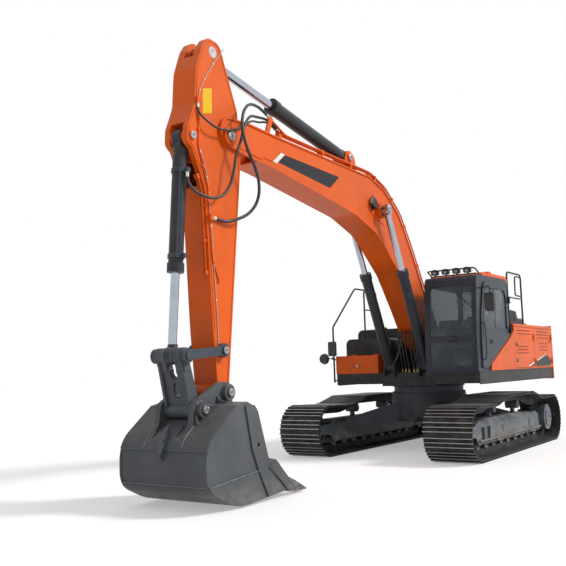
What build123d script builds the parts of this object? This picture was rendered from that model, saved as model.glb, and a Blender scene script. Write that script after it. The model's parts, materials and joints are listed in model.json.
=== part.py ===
from build123d import *
from math import atan2, cos, degrees, hypot, radians, sin, sqrt, tan
import os

os.makedirs("parts", exist_ok=True)

# Crawler excavator of the 36 tonne class, in millimetres.
# X points ahead, Y to the left, Z up. The origin is on the ground under the middle of the whole
# machine, and every x below is counted from the slewing axis, which stands SLEW_X away from it.
# The machine is drawn with its boom half raised, its arm hanging and its bucket by the ground.

# Gaps between pieces
SEAT = 0.3                  # between a piece and the one that carries it
SIDE_PLAY = 6               # beside an eye in its fork
PANEL_GAP = 8               # round a door or a lid
SWING_GAP = 14              # between bodies that pass each other

# Tracks
GAUGE = 2680                # between the middles of the tracks
SHOE_WIDTH = 800
SHOE_COUNT = 49
TUMBLER_SPAN = 4040         # sprocket centre to idler centre
TRACK_HEIGHT = 890          # over the grousers at a tumbler
GROUSER_HEIGHT = 28
SHOE_PLATE = 14
LINK_HEIGHT = 115
LINK_OFFSET = 88            # middle of a row of links from the middle of the track
LINK_THICKNESS = 44
SAG_Z = 818                 # shoes' inner face where the upper run hangs lowest
CARRIED_Z = 950             # shoes' inner face over the carrier rollers
FRONT_SAG_X = 1230
REAR_SAG_X = -1340
FRONT_CARRIED_X = 640
REAR_CARRIED_X = -760

# Wheels of the tracks
IDLER_RADIUS = 273
IDLER_FLANGE = 318
WHEEL_TREAD = 60            # half width between the rows of links
SPROCKET_TEETH = 21
SPROCKET_ROOT = 318
SPROCKET_TIP = 366
FINAL_DRIVE_RADIUS = 245
FINAL_DRIVE_OUT = 262       # outer face of the final drive from the middle of the track
ROLLER_COUNT = 9
ROLLER_RADIUS = 86
ROLLER_FLANGE = 104
ROLLER_FIRST = -1500
ROLLER_LAST = 1520
CARRIER_X = (-690, 575)
CARRIER_RADIUS = 76

# Track frames and middle frame
FRAME_HALF = 195            # half width of a track frame
FRAME_WALL = 24
FRAME_TOP = 610
FRAME_FLOOR = 372           # underside of the box over the rollers
FRAME_SKIRT = 232           # lowest edge of the walls beside the rollers
FRAME_REAR = -1780
FORK_FRONT = 2190
CLEARANCE = 510             # under the middle frame
CARBODY_RADIUS = 690
CARBODY_TOP = 1030
RING_RADIUS = 640
RING_BORE = 500
RING_UPPER = 64             # height of the ring's upper half
RING_BOLTS = 36
TOW_EYE_X = 765
TOW_EYE_Z = 560             # middle of the plate
TOW_EYE_HOLE = 32
TOW_EYE_THICKNESS = 50

# Upper frame
DECK_BOTTOM = 1200
DECK_TOP = 1400
UPPER_HALF = 1495           # half width of the upper works
DECK_HALF = 1480
DECK_REAR = -3040
DECK_FRONT_MIDDLE = 868
DECK_FRONT_CAB = 1270
DECK_FRONT_BOX = 860
MIDDLE_HALF = 520           # half width of the bay where the boom stands
BRACKET_IN = 232            # inner face of a boom bracket from the middle
BRACKET_THICKNESS = 30

# Pins of the upper frame, from the slewing axis and the ground
BOOM_FOOT_X = 219
BOOM_FOOT_Z = 1991
RAM_FOOT_X = 845
RAM_FOOT_Z = 1504
RAM_Y = 356                 # boom cylinder from the middle

# Boom, in its own frame: x from the foot pin to the tip pin, z square to it
BOOM_LENGTH = 6505
BOOM_RAISE = 22.3
BOOM_HALF = 225
BOOM_EDGE = 16              # the top and bottom plates stand this far past the side plates
BOOM_WALL = 18
BOOM_DOUBLER = 10           # doubling plates on its sides
BOOM_RAM_X = 2619
BOOM_RAM_Z = 1228
STICK_RAM_X = 3615          # foot of the arm cylinder
STICK_RAM_Z = 1658
TIP_FORK_HALF = 187
TIP_FORK_REACH = 665

# Arm, in its own frame: x from the boom's tip pin to the bucket's pin, z ahead
ARM_LENGTH = 3190
ARM_TURN = -85.8
ARM_HALF = 180
ARM_WALL = 16
STICK_EYE_X = -1008
STICK_EYE_Z = 317
CURL_FOOT_X = 178
CURL_FOOT_Z = 652
LINK_PIN_X = 2693
LINK_PIN_Z = 21

# Bucket and its linkage
SIDE_LINK = 661
BUCKET_LINK = 643
BUCKET_PINS = 502           # hinge pin to link pin
BUCKET_PIN_TURN = -20.8
BUCKET_HALF = 650
BUCKET_SIDE = 26            # thickness of a side plate
BUCKET_SKIN = 20            # thickness of the curved back
BUCKET_BACK = 843           # farthest point of the back ahead of the hinge pin
BUCKET_DEPTH = 1270
EAR_IN = 215
EAR_THICKNESS = 55
EYE_Z = -505                # lifting eye's hole below the hinge pin
EYE_BACK = 25               # and behind the farthest point of the back
EYE_HOLE = 24
EYE_THICKNESS = 40
TOOTH_COUNT = 5
TOOTH_HALF = 55             # half width of an adapter
EAR_BOSS = 330              # outer face of an ear's boss from the middle

# Pins and cylinders, by radius
PIN_HEAD = 78
RAM_BARREL = 90
RAM_ROD = 52
RAM_EYE = 92
RAM_EYE_HALF = 60
STICK_BARREL = 104
STICK_ROD = 62
STICK_EYE = 118
STICK_EYE_HALF = 70
CURL_BARREL = 88
CURL_ROD = 52
CURL_EYE = 100
CURL_EYE_HALF = 62
LINK_RECESS = 75            # between the rod's eye and the web of the cast link
ROD_PLAY = 3                # round a rod in its barrel
RAM_LENGTH = 1840           # from the foot pin to the barrel's mouth
RAM_CLOSING = 810           # how far the rod goes in from where it stands
STICK_LENGTH = 2070
STICK_CLOSING = 1205
CURL_LENGTH = 1650
CURL_CLOSING = 515
CURL_PORT = 420             # port block of the bucket cylinder, from its foot pin

# Cab
CAB_REAR = -420
CAB_FRONT = 1270
CAB_RIGHT = 535             # inner side of the cab from the middle
CAB_LEFT = 1465             # the panels beside the cab stand outside of it
CAB_ROOF = 3045
CAB_CAP = 55                # height of the roof's cap
CAB_CAP_FRONT = 870         # and its front edge, behind the lamps
CAB_LEAN = 95               # the windscreen's top stands this far behind its foot
CAB_WALL = 48
CAB_FLOOR = 40
CAB_GLASS = 8
CAB_POST = 68               # width of a post beside a window
CAB_BAR_LOW = 1915          # the bar across the windscreen
CAB_BAR_HIGH = 1985
SCREEN_FOOT = 1470
SCREEN_HEAD = 2870
REAR_WINDOW_FOOT = 2150
CAB_DOOR_REAR = -345        # rear edge of the door's opening
CAB_DOOR_OUT = 1490         # outer face of the door
CAB_DOOR_DEPTH = 60

# Housing and counterweight
HOUSE_TOP = 2240
HOUSE_SEAM = 1930           # crease of the side panels
HOUSE_REAR = -3040
HOUSE_NOSE = 704            # the left panel reaches this far ahead beside the cab
# Outline of the flap ahead of the left doors, with the columns x, z and radius
FLAP = ((-540, 1430, 40), (-540, 1860, 40), (-330, 1860, 40), (150, 1650, 40), (150, 1430, 40))
HOUSE_WALL = 30
WEIGHT_BOTTOM = 1165
WEIGHT_TOP = 2262
TAIL_X = -3430
WEIGHT_LUG_X = -3190        # lugs that lift the weight
WEIGHT_LUG_Y = 900
TAIL_CORNER_X = -3215
HOOD_X0 = -2860
HOOD_X1 = -1330
HOOD_Y0 = -760
HOOD_Y1 = 1080
HOOD_HEIGHT = 70
DOOR_Z0 = 1418
DOOR_Z1 = 2190
# Service doors: name, side of the machine, rear end and front end; each is hinged at its rear end
SERVICE_DOORS = (
    ("rear_left_door", 1, -2960, -1790),
    ("front_left_door", 1, -1770, -600),
    ("right_door", -1, -2100, -760),
)
# Louvres of the side doors: door, rear end, front end, height of the lowest slot and number of slots
LOUVRES = (
    ("rear_left_door", -2790, -1950, 1990, 3),
    ("rear_left_door", -2733, -2120, 1750, 3),
    ("front_left_door", -1585, -750, 2050, 2),
    ("front_left_door", -1418, -690, 1690, 3),
    ("right_door", -1950, -1050, 1960, 3),
    ("right_door", -1950, -1050, 1700, 3),
)
LOUVRE_PITCH = 62
LOUVRE_HEIGHT = 30
LOUVRE_DEPTH = 16
OIL_TANK_TOP = 2250
FUEL_TANK_TOP = 2060
TOOL_BOX_REAR = 485
TOOL_BOX_FRONT = 858
TOOL_BOX_INNER = -600
TOOL_BOX_TOP = 1705
LID_THICKNESS = 30

# Rails and mirrors
RAIL = 17                   # radius of a handrail
RAIL_X = 880
RAIL_Y = -1360              # rail over the oil tank's outer side
MIRROR_Y = 1700

# Hinges of doors and lids
HINGE_RADIUS = 12
HINGE_OUT = 13              # axis in front of the closed face
HINGE_LEAF = 60
HINGE_HALF = 30             # half length of one knuckle
CAB_HINGE_OUT = 30
CAB_HINGE_RADIUS = 16


def turned(x, z, angle):
    """Point (x, z) turned by angle degrees about the origin."""
    a = radians(angle)
    return x * cos(a) - z * sin(a), x * sin(a) + z * cos(a)


def placed(base, x, z, angle):
    """Point (x, z) of a frame that stands at base and is turned by angle."""
    dx, dz = turned(x, z, angle)
    return base[0] + dx, base[1] + dz


def meeting(a, b, reach_a, reach_b):
    """Point ahead of the line from b up to a, at reach_a from a and reach_b from b."""
    span = hypot(a[0] - b[0], a[1] - b[1])
    along = (reach_b**2 - reach_a**2 + span**2) / (2 * span)
    aside = sqrt(reach_b**2 - along**2)
    ux, uz = (a[0] - b[0]) / span, (a[1] - b[1]) / span
    return b[0] + along * ux + aside * uz, b[1] + along * uz - aside * ux


def heading(a, b):
    """Angle of the line from a to b, and its length."""
    return degrees(atan2(b[1] - a[1], b[0] - a[0])), hypot(b[0] - a[0], b[1] - a[1])


# Pins as the machine stands, from the slewing axis and the ground
BOOM_FOOT = (BOOM_FOOT_X, BOOM_FOOT_Z)
RAM_FOOT = (RAM_FOOT_X, RAM_FOOT_Z)
RAM_EYE_PIN = placed(BOOM_FOOT, BOOM_RAM_X, BOOM_RAM_Z, BOOM_RAISE)
STICK_FOOT = placed(BOOM_FOOT, STICK_RAM_X, STICK_RAM_Z, BOOM_RAISE)
BOOM_TIP = placed(BOOM_FOOT, BOOM_LENGTH, 0, BOOM_RAISE)
STICK_EYE_PIN = placed(BOOM_TIP, STICK_EYE_X, STICK_EYE_Z, ARM_TURN)
CURL_FOOT = placed(BOOM_TIP, CURL_FOOT_X, CURL_FOOT_Z, ARM_TURN)
ARM_LINK_PIN = placed(BOOM_TIP, LINK_PIN_X, LINK_PIN_Z, ARM_TURN)
BUCKET_PIN = placed(BOOM_TIP, ARM_LENGTH, 0, ARM_TURN)
BUCKET_LINK_PIN = placed(BUCKET_PIN, BUCKET_PINS, 0, BUCKET_PIN_TURN)
CURL_PIN = meeting(ARM_LINK_PIN, BUCKET_LINK_PIN, SIDE_LINK, BUCKET_LINK)

# The box's middle is the origin, so the slewing axis lies behind it.
SLEW_X = -(BUCKET_PIN[0] + BUCKET_BACK + TAIL_X) / 2
TUMBLER_X = TUMBLER_SPAN / 2
TUMBLER_Z = TRACK_HEIGHT / 2
SHOE_FLOOR = GROUSER_HEIGHT + SHOE_PLATE
LOOP_RADIUS = TUMBLER_Z - SHOE_FLOOR


def side(point=(0, 0), y=0.0, turn=0.0):
    """Upright plane along the machine through point (x, z): local x ahead, local y up."""
    a = radians(turn)
    return Plane(origin=(SLEW_X + point[0], y, point[1]), x_dir=(cos(a), 0, sin(a)), z_dir=(0, -1, 0))


def level(z, x=0.0, y=0.0):
    """Level plane at height z: local x ahead, local y to the left."""
    return Plane(origin=(SLEW_X + x, y, z), x_dir=(1, 0, 0), z_dir=(0, 0, 1))


def cross(x, y=0.0, z=0.0):
    """Plane across the machine at x, looking ahead: local x to the left, local y up."""
    return Plane(origin=(SLEW_X + x, y, z), x_dir=(0, 1, 0), z_dir=(1, 0, 0))


def boom_side(y=0.0):
    return side(BOOM_FOOT, y, BOOM_RAISE)


def arm_side(y=0.0):
    return side(BOOM_TIP, y, ARM_TURN)


def bucket_side(y=0.0):
    return side(BUCKET_PIN, y)


def outline(corners, mode=Mode.ADD):
    """Closed face through corners with the columns x, z and corner radius."""
    with BuildLine() as rim:
        FilletPolyline(*[(x, z) for x, z, r in corners], radius=[r for x, z, r in corners], close=True)
    make_face(rim.edges(), mode=mode)


def inset(corners, depth):
    """Corners of the outline that lies depth inside the given one."""
    corners = list(corners)
    lasts = corners[-1:] + corners[:-1]
    nexts = corners[1:] + corners[:1]
    area = sum(x * after[1] - after[0] * z for (x, z, r), after in zip(corners, nexts))
    left = 1 if area > 0 else -1
    moved = []
    for last, (x, z, r), after in zip(lasts, corners, nexts):
        ax, az = x - last[0], z - last[1]
        bx, bz = after[0] - x, after[1] - z
        a, b = left * hypot(ax, az), left * hypot(bx, bz)
        nx, nz = -az / a - bz / b, ax / a + bx / b
        share = depth / (1 + (ax * bx + az * bz) / (a * b))
        outward = (ax * bz - az * bx) * left > 0
        radius = r - depth if outward else r + depth
        moved.append((x + share * nx, z + share * nz, max(radius, 0) if r else 0))
    return moved


def slab(plane, corners, half, mode=Mode.ADD):
    """Plate of half thickness half each side of a plane, with the given corners."""
    with BuildSketch(plane) as face:
        outline(corners)
    extrude(face.sketch, amount=half, both=True, mode=mode)


def disc(plane, at, radius, half, mode=Mode.ADD):
    """Round boss, pin or bore about the point at of a plane, half its length each side."""
    with BuildSketch(plane) as face:
        with Locations(at):
            Circle(radius)
    extrude(face.sketch, amount=half, both=True, mode=mode)


def block(x0, x1, y0, y1, z0, z1, mode=Mode.ADD):
    """Block between two corners, x from the slewing axis."""
    with BuildSketch(level(z0, (x0 + x1) / 2, (y0 + y1) / 2)) as face:
        Rectangle(x1 - x0, y1 - y0)
    extrude(face.sketch, amount=z1 - z0, mode=mode)


def tube(points, radius, bend, mode=Mode.ADD):
    """Round bar through points of the row's frame, with its corners rounded by bend."""
    with BuildLine() as run:
        if len(points) > 2:
            FilletPolyline(*points, radius=bend)
        else:
            Line(*points)
    path = run.wire()
    with BuildSketch(Plane(origin=path @ 0, z_dir=path % 0)) as ring:
        Circle(radius)
    sweep(ring.sketch, path=path, mode=mode)


def at(x, y, z):
    """Point of the machine, x from the slewing axis."""
    return SLEW_X + x, y, z


def on(frame, x, y, z):
    """Point (x, z) of an upright plane's own axes, y to the left."""
    point = frame.from_local_coords((x, z, 0))
    return point.X, y, point.Z


# Undercarriage

# Corners of the shoes' inner face, with the columns x, z and radius
CROWN = LOOP_RADIUS - 11
TRACK_RUN = (
    (TUMBLER_X + LOOP_RADIUS, SHOE_FLOOR, LOOP_RADIUS),
    (TUMBLER_X + LOOP_RADIUS, TRACK_HEIGHT - SHOE_FLOOR, CROWN),
    (FRONT_SAG_X, SAG_Z, 1200),
    (FRONT_CARRIED_X, CARRIED_Z, 500),
    (REAR_CARRIED_X, CARRIED_Z, 500),
    (REAR_SAG_X, SAG_Z, 1200),
    (-TUMBLER_X - LOOP_RADIUS, TRACK_HEIGHT - SHOE_FLOOR, CROWN),
    (-TUMBLER_X - LOOP_RADIUS, SHOE_FLOOR, LOOP_RADIUS),
)
# Three grousers of a shoe: place along the shoe, half width at the foot and at the tip
GROUSERS = ((-72, 15, 7), (0, 15, 7), (72, 15, 7))


def shoe_corners():
    """Outer corners of the band of shoes, walked round the run one shoe at a time."""
    with BuildLine() as run:
        FilletPolyline(*[(x, z) for x, z, r in TRACK_RUN], radius=[r for x, z, r in TRACK_RUN], close=True)
    loop = run.wire()
    corners = []
    for shoe in range(SHOE_COUNT):
        middle = loop @ (shoe / SHOE_COUNT)
        along = loop % (shoe / SHOE_COUNT)
        out = Vector(along.Y, -along.X)
        if out.dot(middle - Vector(0, TUMBLER_Z)) < 0:
            out = -out
        for place, foot, tip in GROUSERS:
            for step, height in ((-foot, 0), (-tip, GROUSER_HEIGHT), (tip, GROUSER_HEIGHT), (foot, 0)):
                point = middle + along * (place + step) + out * (SHOE_PLATE + height)
                corners.append((point.X, point.Y))
    return corners


def make_tracks():
    corners = shoe_corners()
    for name, y in (("left", GAUGE / 2), ("right", -GAUGE / 2)):
        with BuildPart() as track:
            with BuildSketch(side(y=y)):
                with BuildLine():
                    Polyline(*corners, close=True)
                make_face()
                outline(TRACK_RUN, mode=Mode.SUBTRACT)
            extrude(amount=SHOE_WIDTH / 2, both=True)
            for row in (-LINK_OFFSET, LINK_OFFSET):
                with BuildSketch(side(y=y + row)):
                    outline(TRACK_RUN)
                    outline(inset(TRACK_RUN, LINK_HEIGHT), mode=Mode.SUBTRACT)
                extrude(amount=LINK_THICKNESS / 2, both=True)
        track.part.label = f"track_{name}"
        export_step(track.part, f"parts/track_{name}.step")


def make_track_wheels():
    """Idlers in front, sprockets with their final drives behind, and the rollers between."""
    with BuildPart() as idlers:
        for y in (GAUGE / 2, -GAUGE / 2):
            hub = side((TUMBLER_X, TUMBLER_Z), y)
            disc(hub, (0, 0), IDLER_RADIUS, LINK_OFFSET + LINK_THICKNESS / 2)
            disc(hub, (0, 0), IDLER_FLANGE, WHEEL_TREAD)
            for rim in (-1, 1):
                face = side((TUMBLER_X, TUMBLER_Z), y + rim * 110)
                with BuildSketch(face):
                    Circle(IDLER_RADIUS - 40)
                    Circle(120, mode=Mode.SUBTRACT)
                extrude(amount=45, both=True, mode=Mode.SUBTRACT)
            disc(hub, (0, 0), 62, FRAME_HALF - FRAME_WALL - SEAT)
    idlers.part.label = "idlers"
    export_step(idlers.part, "parts/idlers.step")

    with BuildPart() as sprockets:
        for y, out in ((GAUGE / 2, 1), (-GAUGE / 2, -1)):
            hub = side((-TUMBLER_X, TUMBLER_Z), y)
            with BuildSketch(hub):
                Circle(SPROCKET_ROOT)
                with PolarLocations(0, SPROCKET_TEETH):
                    with Locations((SPROCKET_ROOT, 0)):
                        Trapezoid(62, SPROCKET_TIP - SPROCKET_ROOT + 10, 62, rotation=-90)
            extrude(amount=32, both=True)
            drum_in = FRAME_HALF - 50 - SEAT
            drum = side((-TUMBLER_X, TUMBLER_Z), y + out * (FINAL_DRIVE_OUT - drum_in) / 2)
            disc(drum, (0, 0), FINAL_DRIVE_RADIUS, (FINAL_DRIVE_OUT + drum_in) / 2)
            cap = side((-TUMBLER_X, TUMBLER_Z), y + out * (FINAL_DRIVE_OUT + 10))
            disc(cap, (0, 0), FINAL_DRIVE_RADIUS - 75, 12)
            ring = side((-TUMBLER_X, TUMBLER_Z), y + out * 52)
            disc(ring, (0, 0), FINAL_DRIVE_RADIUS + 18, 20)
    sprockets.part.label = "sprockets"
    export_step(sprockets.part, "parts/sprockets.step")

    roller_z = SHOE_FLOOR + LINK_HEIGHT + SEAT + ROLLER_RADIUS
    carrier_z = CARRIED_Z - LINK_HEIGHT - SEAT - CARRIER_RADIUS
    pitch = (ROLLER_LAST - ROLLER_FIRST) / (ROLLER_COUNT - 1)
    tread = LINK_OFFSET + LINK_THICKNESS / 2 + 2
    with BuildPart() as rollers:
        for y, out in ((GAUGE / 2, 1), (-GAUGE / 2, -1)):
            for roller in range(ROLLER_COUNT):
                axle = side((ROLLER_FIRST + roller * pitch, roller_z), y)
                disc(axle, (0, 0), ROLLER_RADIUS, tread)
                disc(axle, (0, 0), 42, FRAME_HALF - FRAME_WALL - SEAT)
                for rim in (-tread - 9, tread + 9):
                    disc(side((ROLLER_FIRST + roller * pitch, roller_z), y + rim), (0, 0), ROLLER_FLANGE, 9)
            for x in CARRIER_X:
                disc(side((x, carrier_z), y), (0, 0), CARRIER_RADIUS, tread)
                slab(side(y=y), ((x - 45, FRAME_TOP + SEAT, 0), (x + 45, FRAME_TOP + SEAT, 0),
                                 (x + 30, carrier_z + 30, 25), (x - 30, carrier_z + 30, 25)), 30)
    rollers.part.label = "rollers"
    export_step(rollers.part, "parts/rollers.step")


def make_track_frames():
    for name, y, out in (("left", GAUGE / 2, 1), ("right", -GAUGE / 2, -1)):
        with BuildPart() as frame:
            slab(side(y=y), (
                (FRAME_REAR, 250, 60), (FRAME_REAR, 600, 60), (-1500, 575, 40), (-900, FRAME_TOP, 0),
                (FORK_FRONT - 640, FRAME_TOP, 60), (FORK_FRONT - 420, 535, 60), (FORK_FRONT, 520, 40),
                (FORK_FRONT, 372, 40), (FORK_FRONT - 460, 350, 40), (1640, FRAME_SKIRT, 30),
                (-1600, FRAME_SKIRT, 30)), FRAME_HALF)
            # Room for the rollers below, for the idler in front and for the sprocket behind
            inner = FRAME_HALF - FRAME_WALL
            block(FRAME_REAR - 10, FORK_FRONT + 10, y - inner, y + inner, FRAME_SKIRT - 10, FRAME_FLOOR,
                mode=Mode.SUBTRACT)
            disc(side((TUMBLER_X, TUMBLER_Z), y), (0, 0), IDLER_FLANGE + 45, inner, mode=Mode.SUBTRACT)
            block(TUMBLER_X - 40, FORK_FRONT + 10, y - inner, y + inner, FRAME_SKIRT, FRAME_TOP,
                mode=Mode.SUBTRACT)
            disc(side((-TUMBLER_X, TUMBLER_Z), y), (0, 0), LOOP_RADIUS - 8, FRAME_HALF + 1,
                mode=Mode.SUBTRACT)
            # Sloped shoulders that shed the mud
            for wall in (-1, 1):
                with BuildSketch(cross(FRAME_REAR - 10, y)):
                    with BuildLine():
                        Polyline((wall * (FRAME_HALF + 1), FRAME_TOP + 1), (wall * (FRAME_HALF + 1), 520),
                                 (wall * 95, FRAME_TOP + 1), close=True)
                    make_face()
                extrude(amount=FORK_FRONT - 640 - FRAME_REAR, mode=Mode.SUBTRACT)
            # Ledge along the outer wall, roller guards, recoil cover, and the foot of the final drive
            ledge = y + out * (FRAME_HALF + 24)
            block(-1620, 1660, ledge - 25, ledge + 25, 286, 310)
            for x in (-1150, -250, 650):
                guard = y + out * (FRAME_HALF + 9)
                slab(side(y=guard), ((x - 150, 232, 20), (x - 190, 300, 0), (x + 190, 300, 0),
                    (x + 150, 232, 20)), 10)
            for x0, x1 in ((-1180, -1010), (280, 470)):
                plate_y = sorted((y + out * (FRAME_HALF - 2), y + out * (FRAME_HALF + 12)))
                block(x0, x1, plate_y[0], plate_y[1], 360, 470)
            for x in (1180, 1450):
                rib = sorted((y + out * (FRAME_HALF - 2), y + out * (FRAME_HALF + 40)))
                block(x - 12, x + 12, rib[0], rib[1], 309, 500)
            # Bearing block of the idler on each side of the fork
            for wall in (-1, 1):
                bearing = y + wall * (FRAME_HALF + 6)
                slab(side(y=bearing), ((TUMBLER_X - 110, TUMBLER_Z - 72, 20),
                    (TUMBLER_X - 110, TUMBLER_Z + 72, 20),
                                       (TUMBLER_X + 95, TUMBLER_Z + 72, 20),
                                       (TUMBLER_X + 95, TUMBLER_Z - 72, 20)), 10)
                disc(side((TUMBLER_X, TUMBLER_Z), bearing), (0, 0), 50, 22)
            motor = side((-TUMBLER_X, TUMBLER_Z), y - out * (FRAME_HALF - 20))
            disc(motor, (0, 0), FINAL_DRIVE_RADIUS, 30)
            slab(motor, ((-200, -190, 60), (-200, 150, 60), (420, 160, 0), (420, -190, 0)), 20)
        frame.part.label = f"track_frame_{name}"
        export_step(frame.part, f"parts/track_frame_{name}.step")


def make_carbody():
    """Middle frame: a round seat for the slewing ring on four legs that reach the track frames."""
    frame_face = GAUGE / 2 - FRAME_HALF - SEAT
    with BuildPart() as carbody:
        with BuildSketch(level(CLEARANCE)):
            Circle(CARBODY_RADIUS)
        extrude(amount=CARBODY_TOP - 60 - CLEARANCE)
        with BuildSketch(level(CARBODY_TOP - 60)):
            Circle(RING_RADIUS + 40)
        extrude(amount=60)
        # Bolt heads of the ring's lower half, standing on the rim
        with BuildSketch(level(CARBODY_TOP)):
            with PolarLocations(RING_RADIUS + 22, RING_BOLTS):
                RegularPolygon(13, 6)
        extrude(amount=14)
        for ahead in (-1, 1):
            for left in (-1, 1):
                with BuildSketch(Plane(origin=(SLEW_X, left * 330, 0), x_dir=(1, 0, 0), z_dir=(0, -1, 0))):
                    with BuildLine():
                        Polyline((ahead * 60, CLEARANCE + 10), (ahead * 640, CLEARANCE + 10),
                                 (ahead * 560, 880), (ahead * 60, 880), close=True)
                    make_face()
                with BuildSketch(Plane(origin=(SLEW_X, left * frame_face, 0), x_dir=(1, 0, 0),
                        z_dir=(0, -1, 0))):
                    with BuildLine():
                        Polyline((ahead * 620, 392), (ahead * 1200, 392),
                                 (ahead * 1200, 590), (ahead * 620, 590), close=True)
                    make_face()
                loft(ruled=True)
        # Eyes for towing and lashing, in front and behind
        for ahead in (-1, 1):
            root, tip = ahead * (CARBODY_RADIUS - 60), ahead * (TOW_EYE_X + 78)
            slab(level(TOW_EYE_Z), ((root, -170, 0), (tip, -78, 75), (tip, 78, 75), (root, 170, 0)),
                 TOW_EYE_THICKNESS / 2)
            disc(level(TOW_EYE_Z), (ahead * TOW_EYE_X, 0), TOW_EYE_HOLE, TOW_EYE_THICKNESS,
                mode=Mode.SUBTRACT)
    carbody.part.label = "carbody"
    export_step(carbody.part, "parts/carbody.step")

    with BuildPart() as ring:
        with BuildSketch(level(CARBODY_TOP + SEAT)):
            Circle(RING_RADIUS)
            Circle(RING_BORE, mode=Mode.SUBTRACT)
        extrude(amount=DECK_BOTTOM - RING_UPPER - CARBODY_TOP - 2 * SEAT)
    ring.part.label = "slew_ring"
    export_step(ring.part, "parts/slew_ring.step")


# Upper works

def make_main_frame():
    with BuildPart() as frame:
        with BuildSketch(level(DECK_BOTTOM)):
            with BuildLine():
                Polyline((DECK_REAR, -DECK_HALF), (DECK_FRONT_BOX, -DECK_HALF),
                    (DECK_FRONT_BOX, -MIDDLE_HALF),
                         (DECK_FRONT_MIDDLE, -MIDDLE_HALF), (DECK_FRONT_MIDDLE, MIDDLE_HALF),
                         (DECK_FRONT_CAB, MIDDLE_HALF), (DECK_FRONT_CAB, DECK_HALF), (DECK_REAR, DECK_HALF),
                         close=True)
            make_face()
        extrude(amount=DECK_TOP - DECK_BOTTOM)
        # The wings are hollow beams, open where the counterweight closes them
        for y0, y1 in ((-DECK_HALF + 20, -MIDDLE_HALF), (MIDDLE_HALF, DECK_HALF - 20)):
            block(DECK_REAR - 10, 700, y0, y1, DECK_BOTTOM + 14, DECK_TOP - 14, mode=Mode.SUBTRACT)
        block(DECK_REAR - 10, -900, -MIDDLE_HALF + 20, MIDDLE_HALF - 20, DECK_BOTTOM + 14, DECK_TOP - 14,
              mode=Mode.SUBTRACT)
        # Upper half of the slewing ring
        with BuildSketch(level(DECK_BOTTOM - RING_UPPER)):
            Circle(RING_RADIUS + 25)
        extrude(amount=RING_UPPER)
        # Edge beams of the wings, with a round corner under the cab and under the tool box
        for left, front in ((-1, DECK_FRONT_BOX), (1, DECK_FRONT_CAB)):
            edge = side(y=left * (DECK_HALF - 10))
            slab(edge, ((DECK_REAR, DECK_BOTTOM - 20, 0), (DECK_REAR, DECK_TOP, 0), (front, DECK_TOP, 0),
                        (front, DECK_BOTTOM - 20, 60)), 10)
        # Lower plate between the wings, under the boom's foot
        block(DECK_FRONT_MIDDLE - 40, DECK_FRONT_MIDDLE, -MIDDLE_HALF, MIDDLE_HALF, DECK_BOTTOM - 40,
            DECK_BOTTOM + 5)
        # Two brackets for the boom, and an outer ear for each boom cylinder
        for left in (-1, 1):
            bracket_y = left * (BRACKET_IN + BRACKET_THICKNESS / 2)
            slab(side(y=bracket_y), (
                (-1500, DECK_TOP - 5, 0), (-1500, DECK_TOP + 160, 60), (-500, 1640, 300),
                (BOOM_FOOT_X - 165, BOOM_FOOT_Z + 165, 164), (BOOM_FOOT_X + 170, BOOM_FOOT_Z + 165, 164),
                (RAM_FOOT_X - 60, RAM_FOOT_Z + 170, 260), (RAM_FOOT_X + 108, RAM_FOOT_Z + 60, 90),
                (RAM_FOOT_X + 108, DECK_TOP - 60, 40), (RAM_FOOT_X, DECK_TOP - 70, 0)), BRACKET_THICKNESS / 2)
            inner = BRACKET_IN + BRACKET_THICKNESS
            boss = RAM_Y - RAM_EYE_HALF - SIDE_PLAY
            boss_y = left * (inner + boss) / 2
            disc(side(RAM_FOOT, boss_y), (0, 0), RAM_EYE + 8, (boss - inner) / 2)
            ear_y = left * (RAM_Y + RAM_EYE_HALF + SIDE_PLAY + 15)
            slab(side(RAM_FOOT, ear_y), (
                (-230, DECK_TOP - RAM_FOOT_Z - 5, 0), (-70, 95, 90), (102, 60, 95),
                (102, -150, 30), (0, -160, 0)), 15)
            # Pin ends: the boom's foot pin and the cylinder's foot pin show outside their plates
            disc(side(BOOM_FOOT, left * (inner + 12)), (0, 0), PIN_HEAD, 12)
            disc(side(RAM_FOOT, left * (RAM_Y + RAM_EYE_HALF + SIDE_PLAY + 30 + 9)), (0, 0), 60, 9)
    frame.part.label = "main_frame"
    export_step(frame.part, "parts/main_frame.step")


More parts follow.
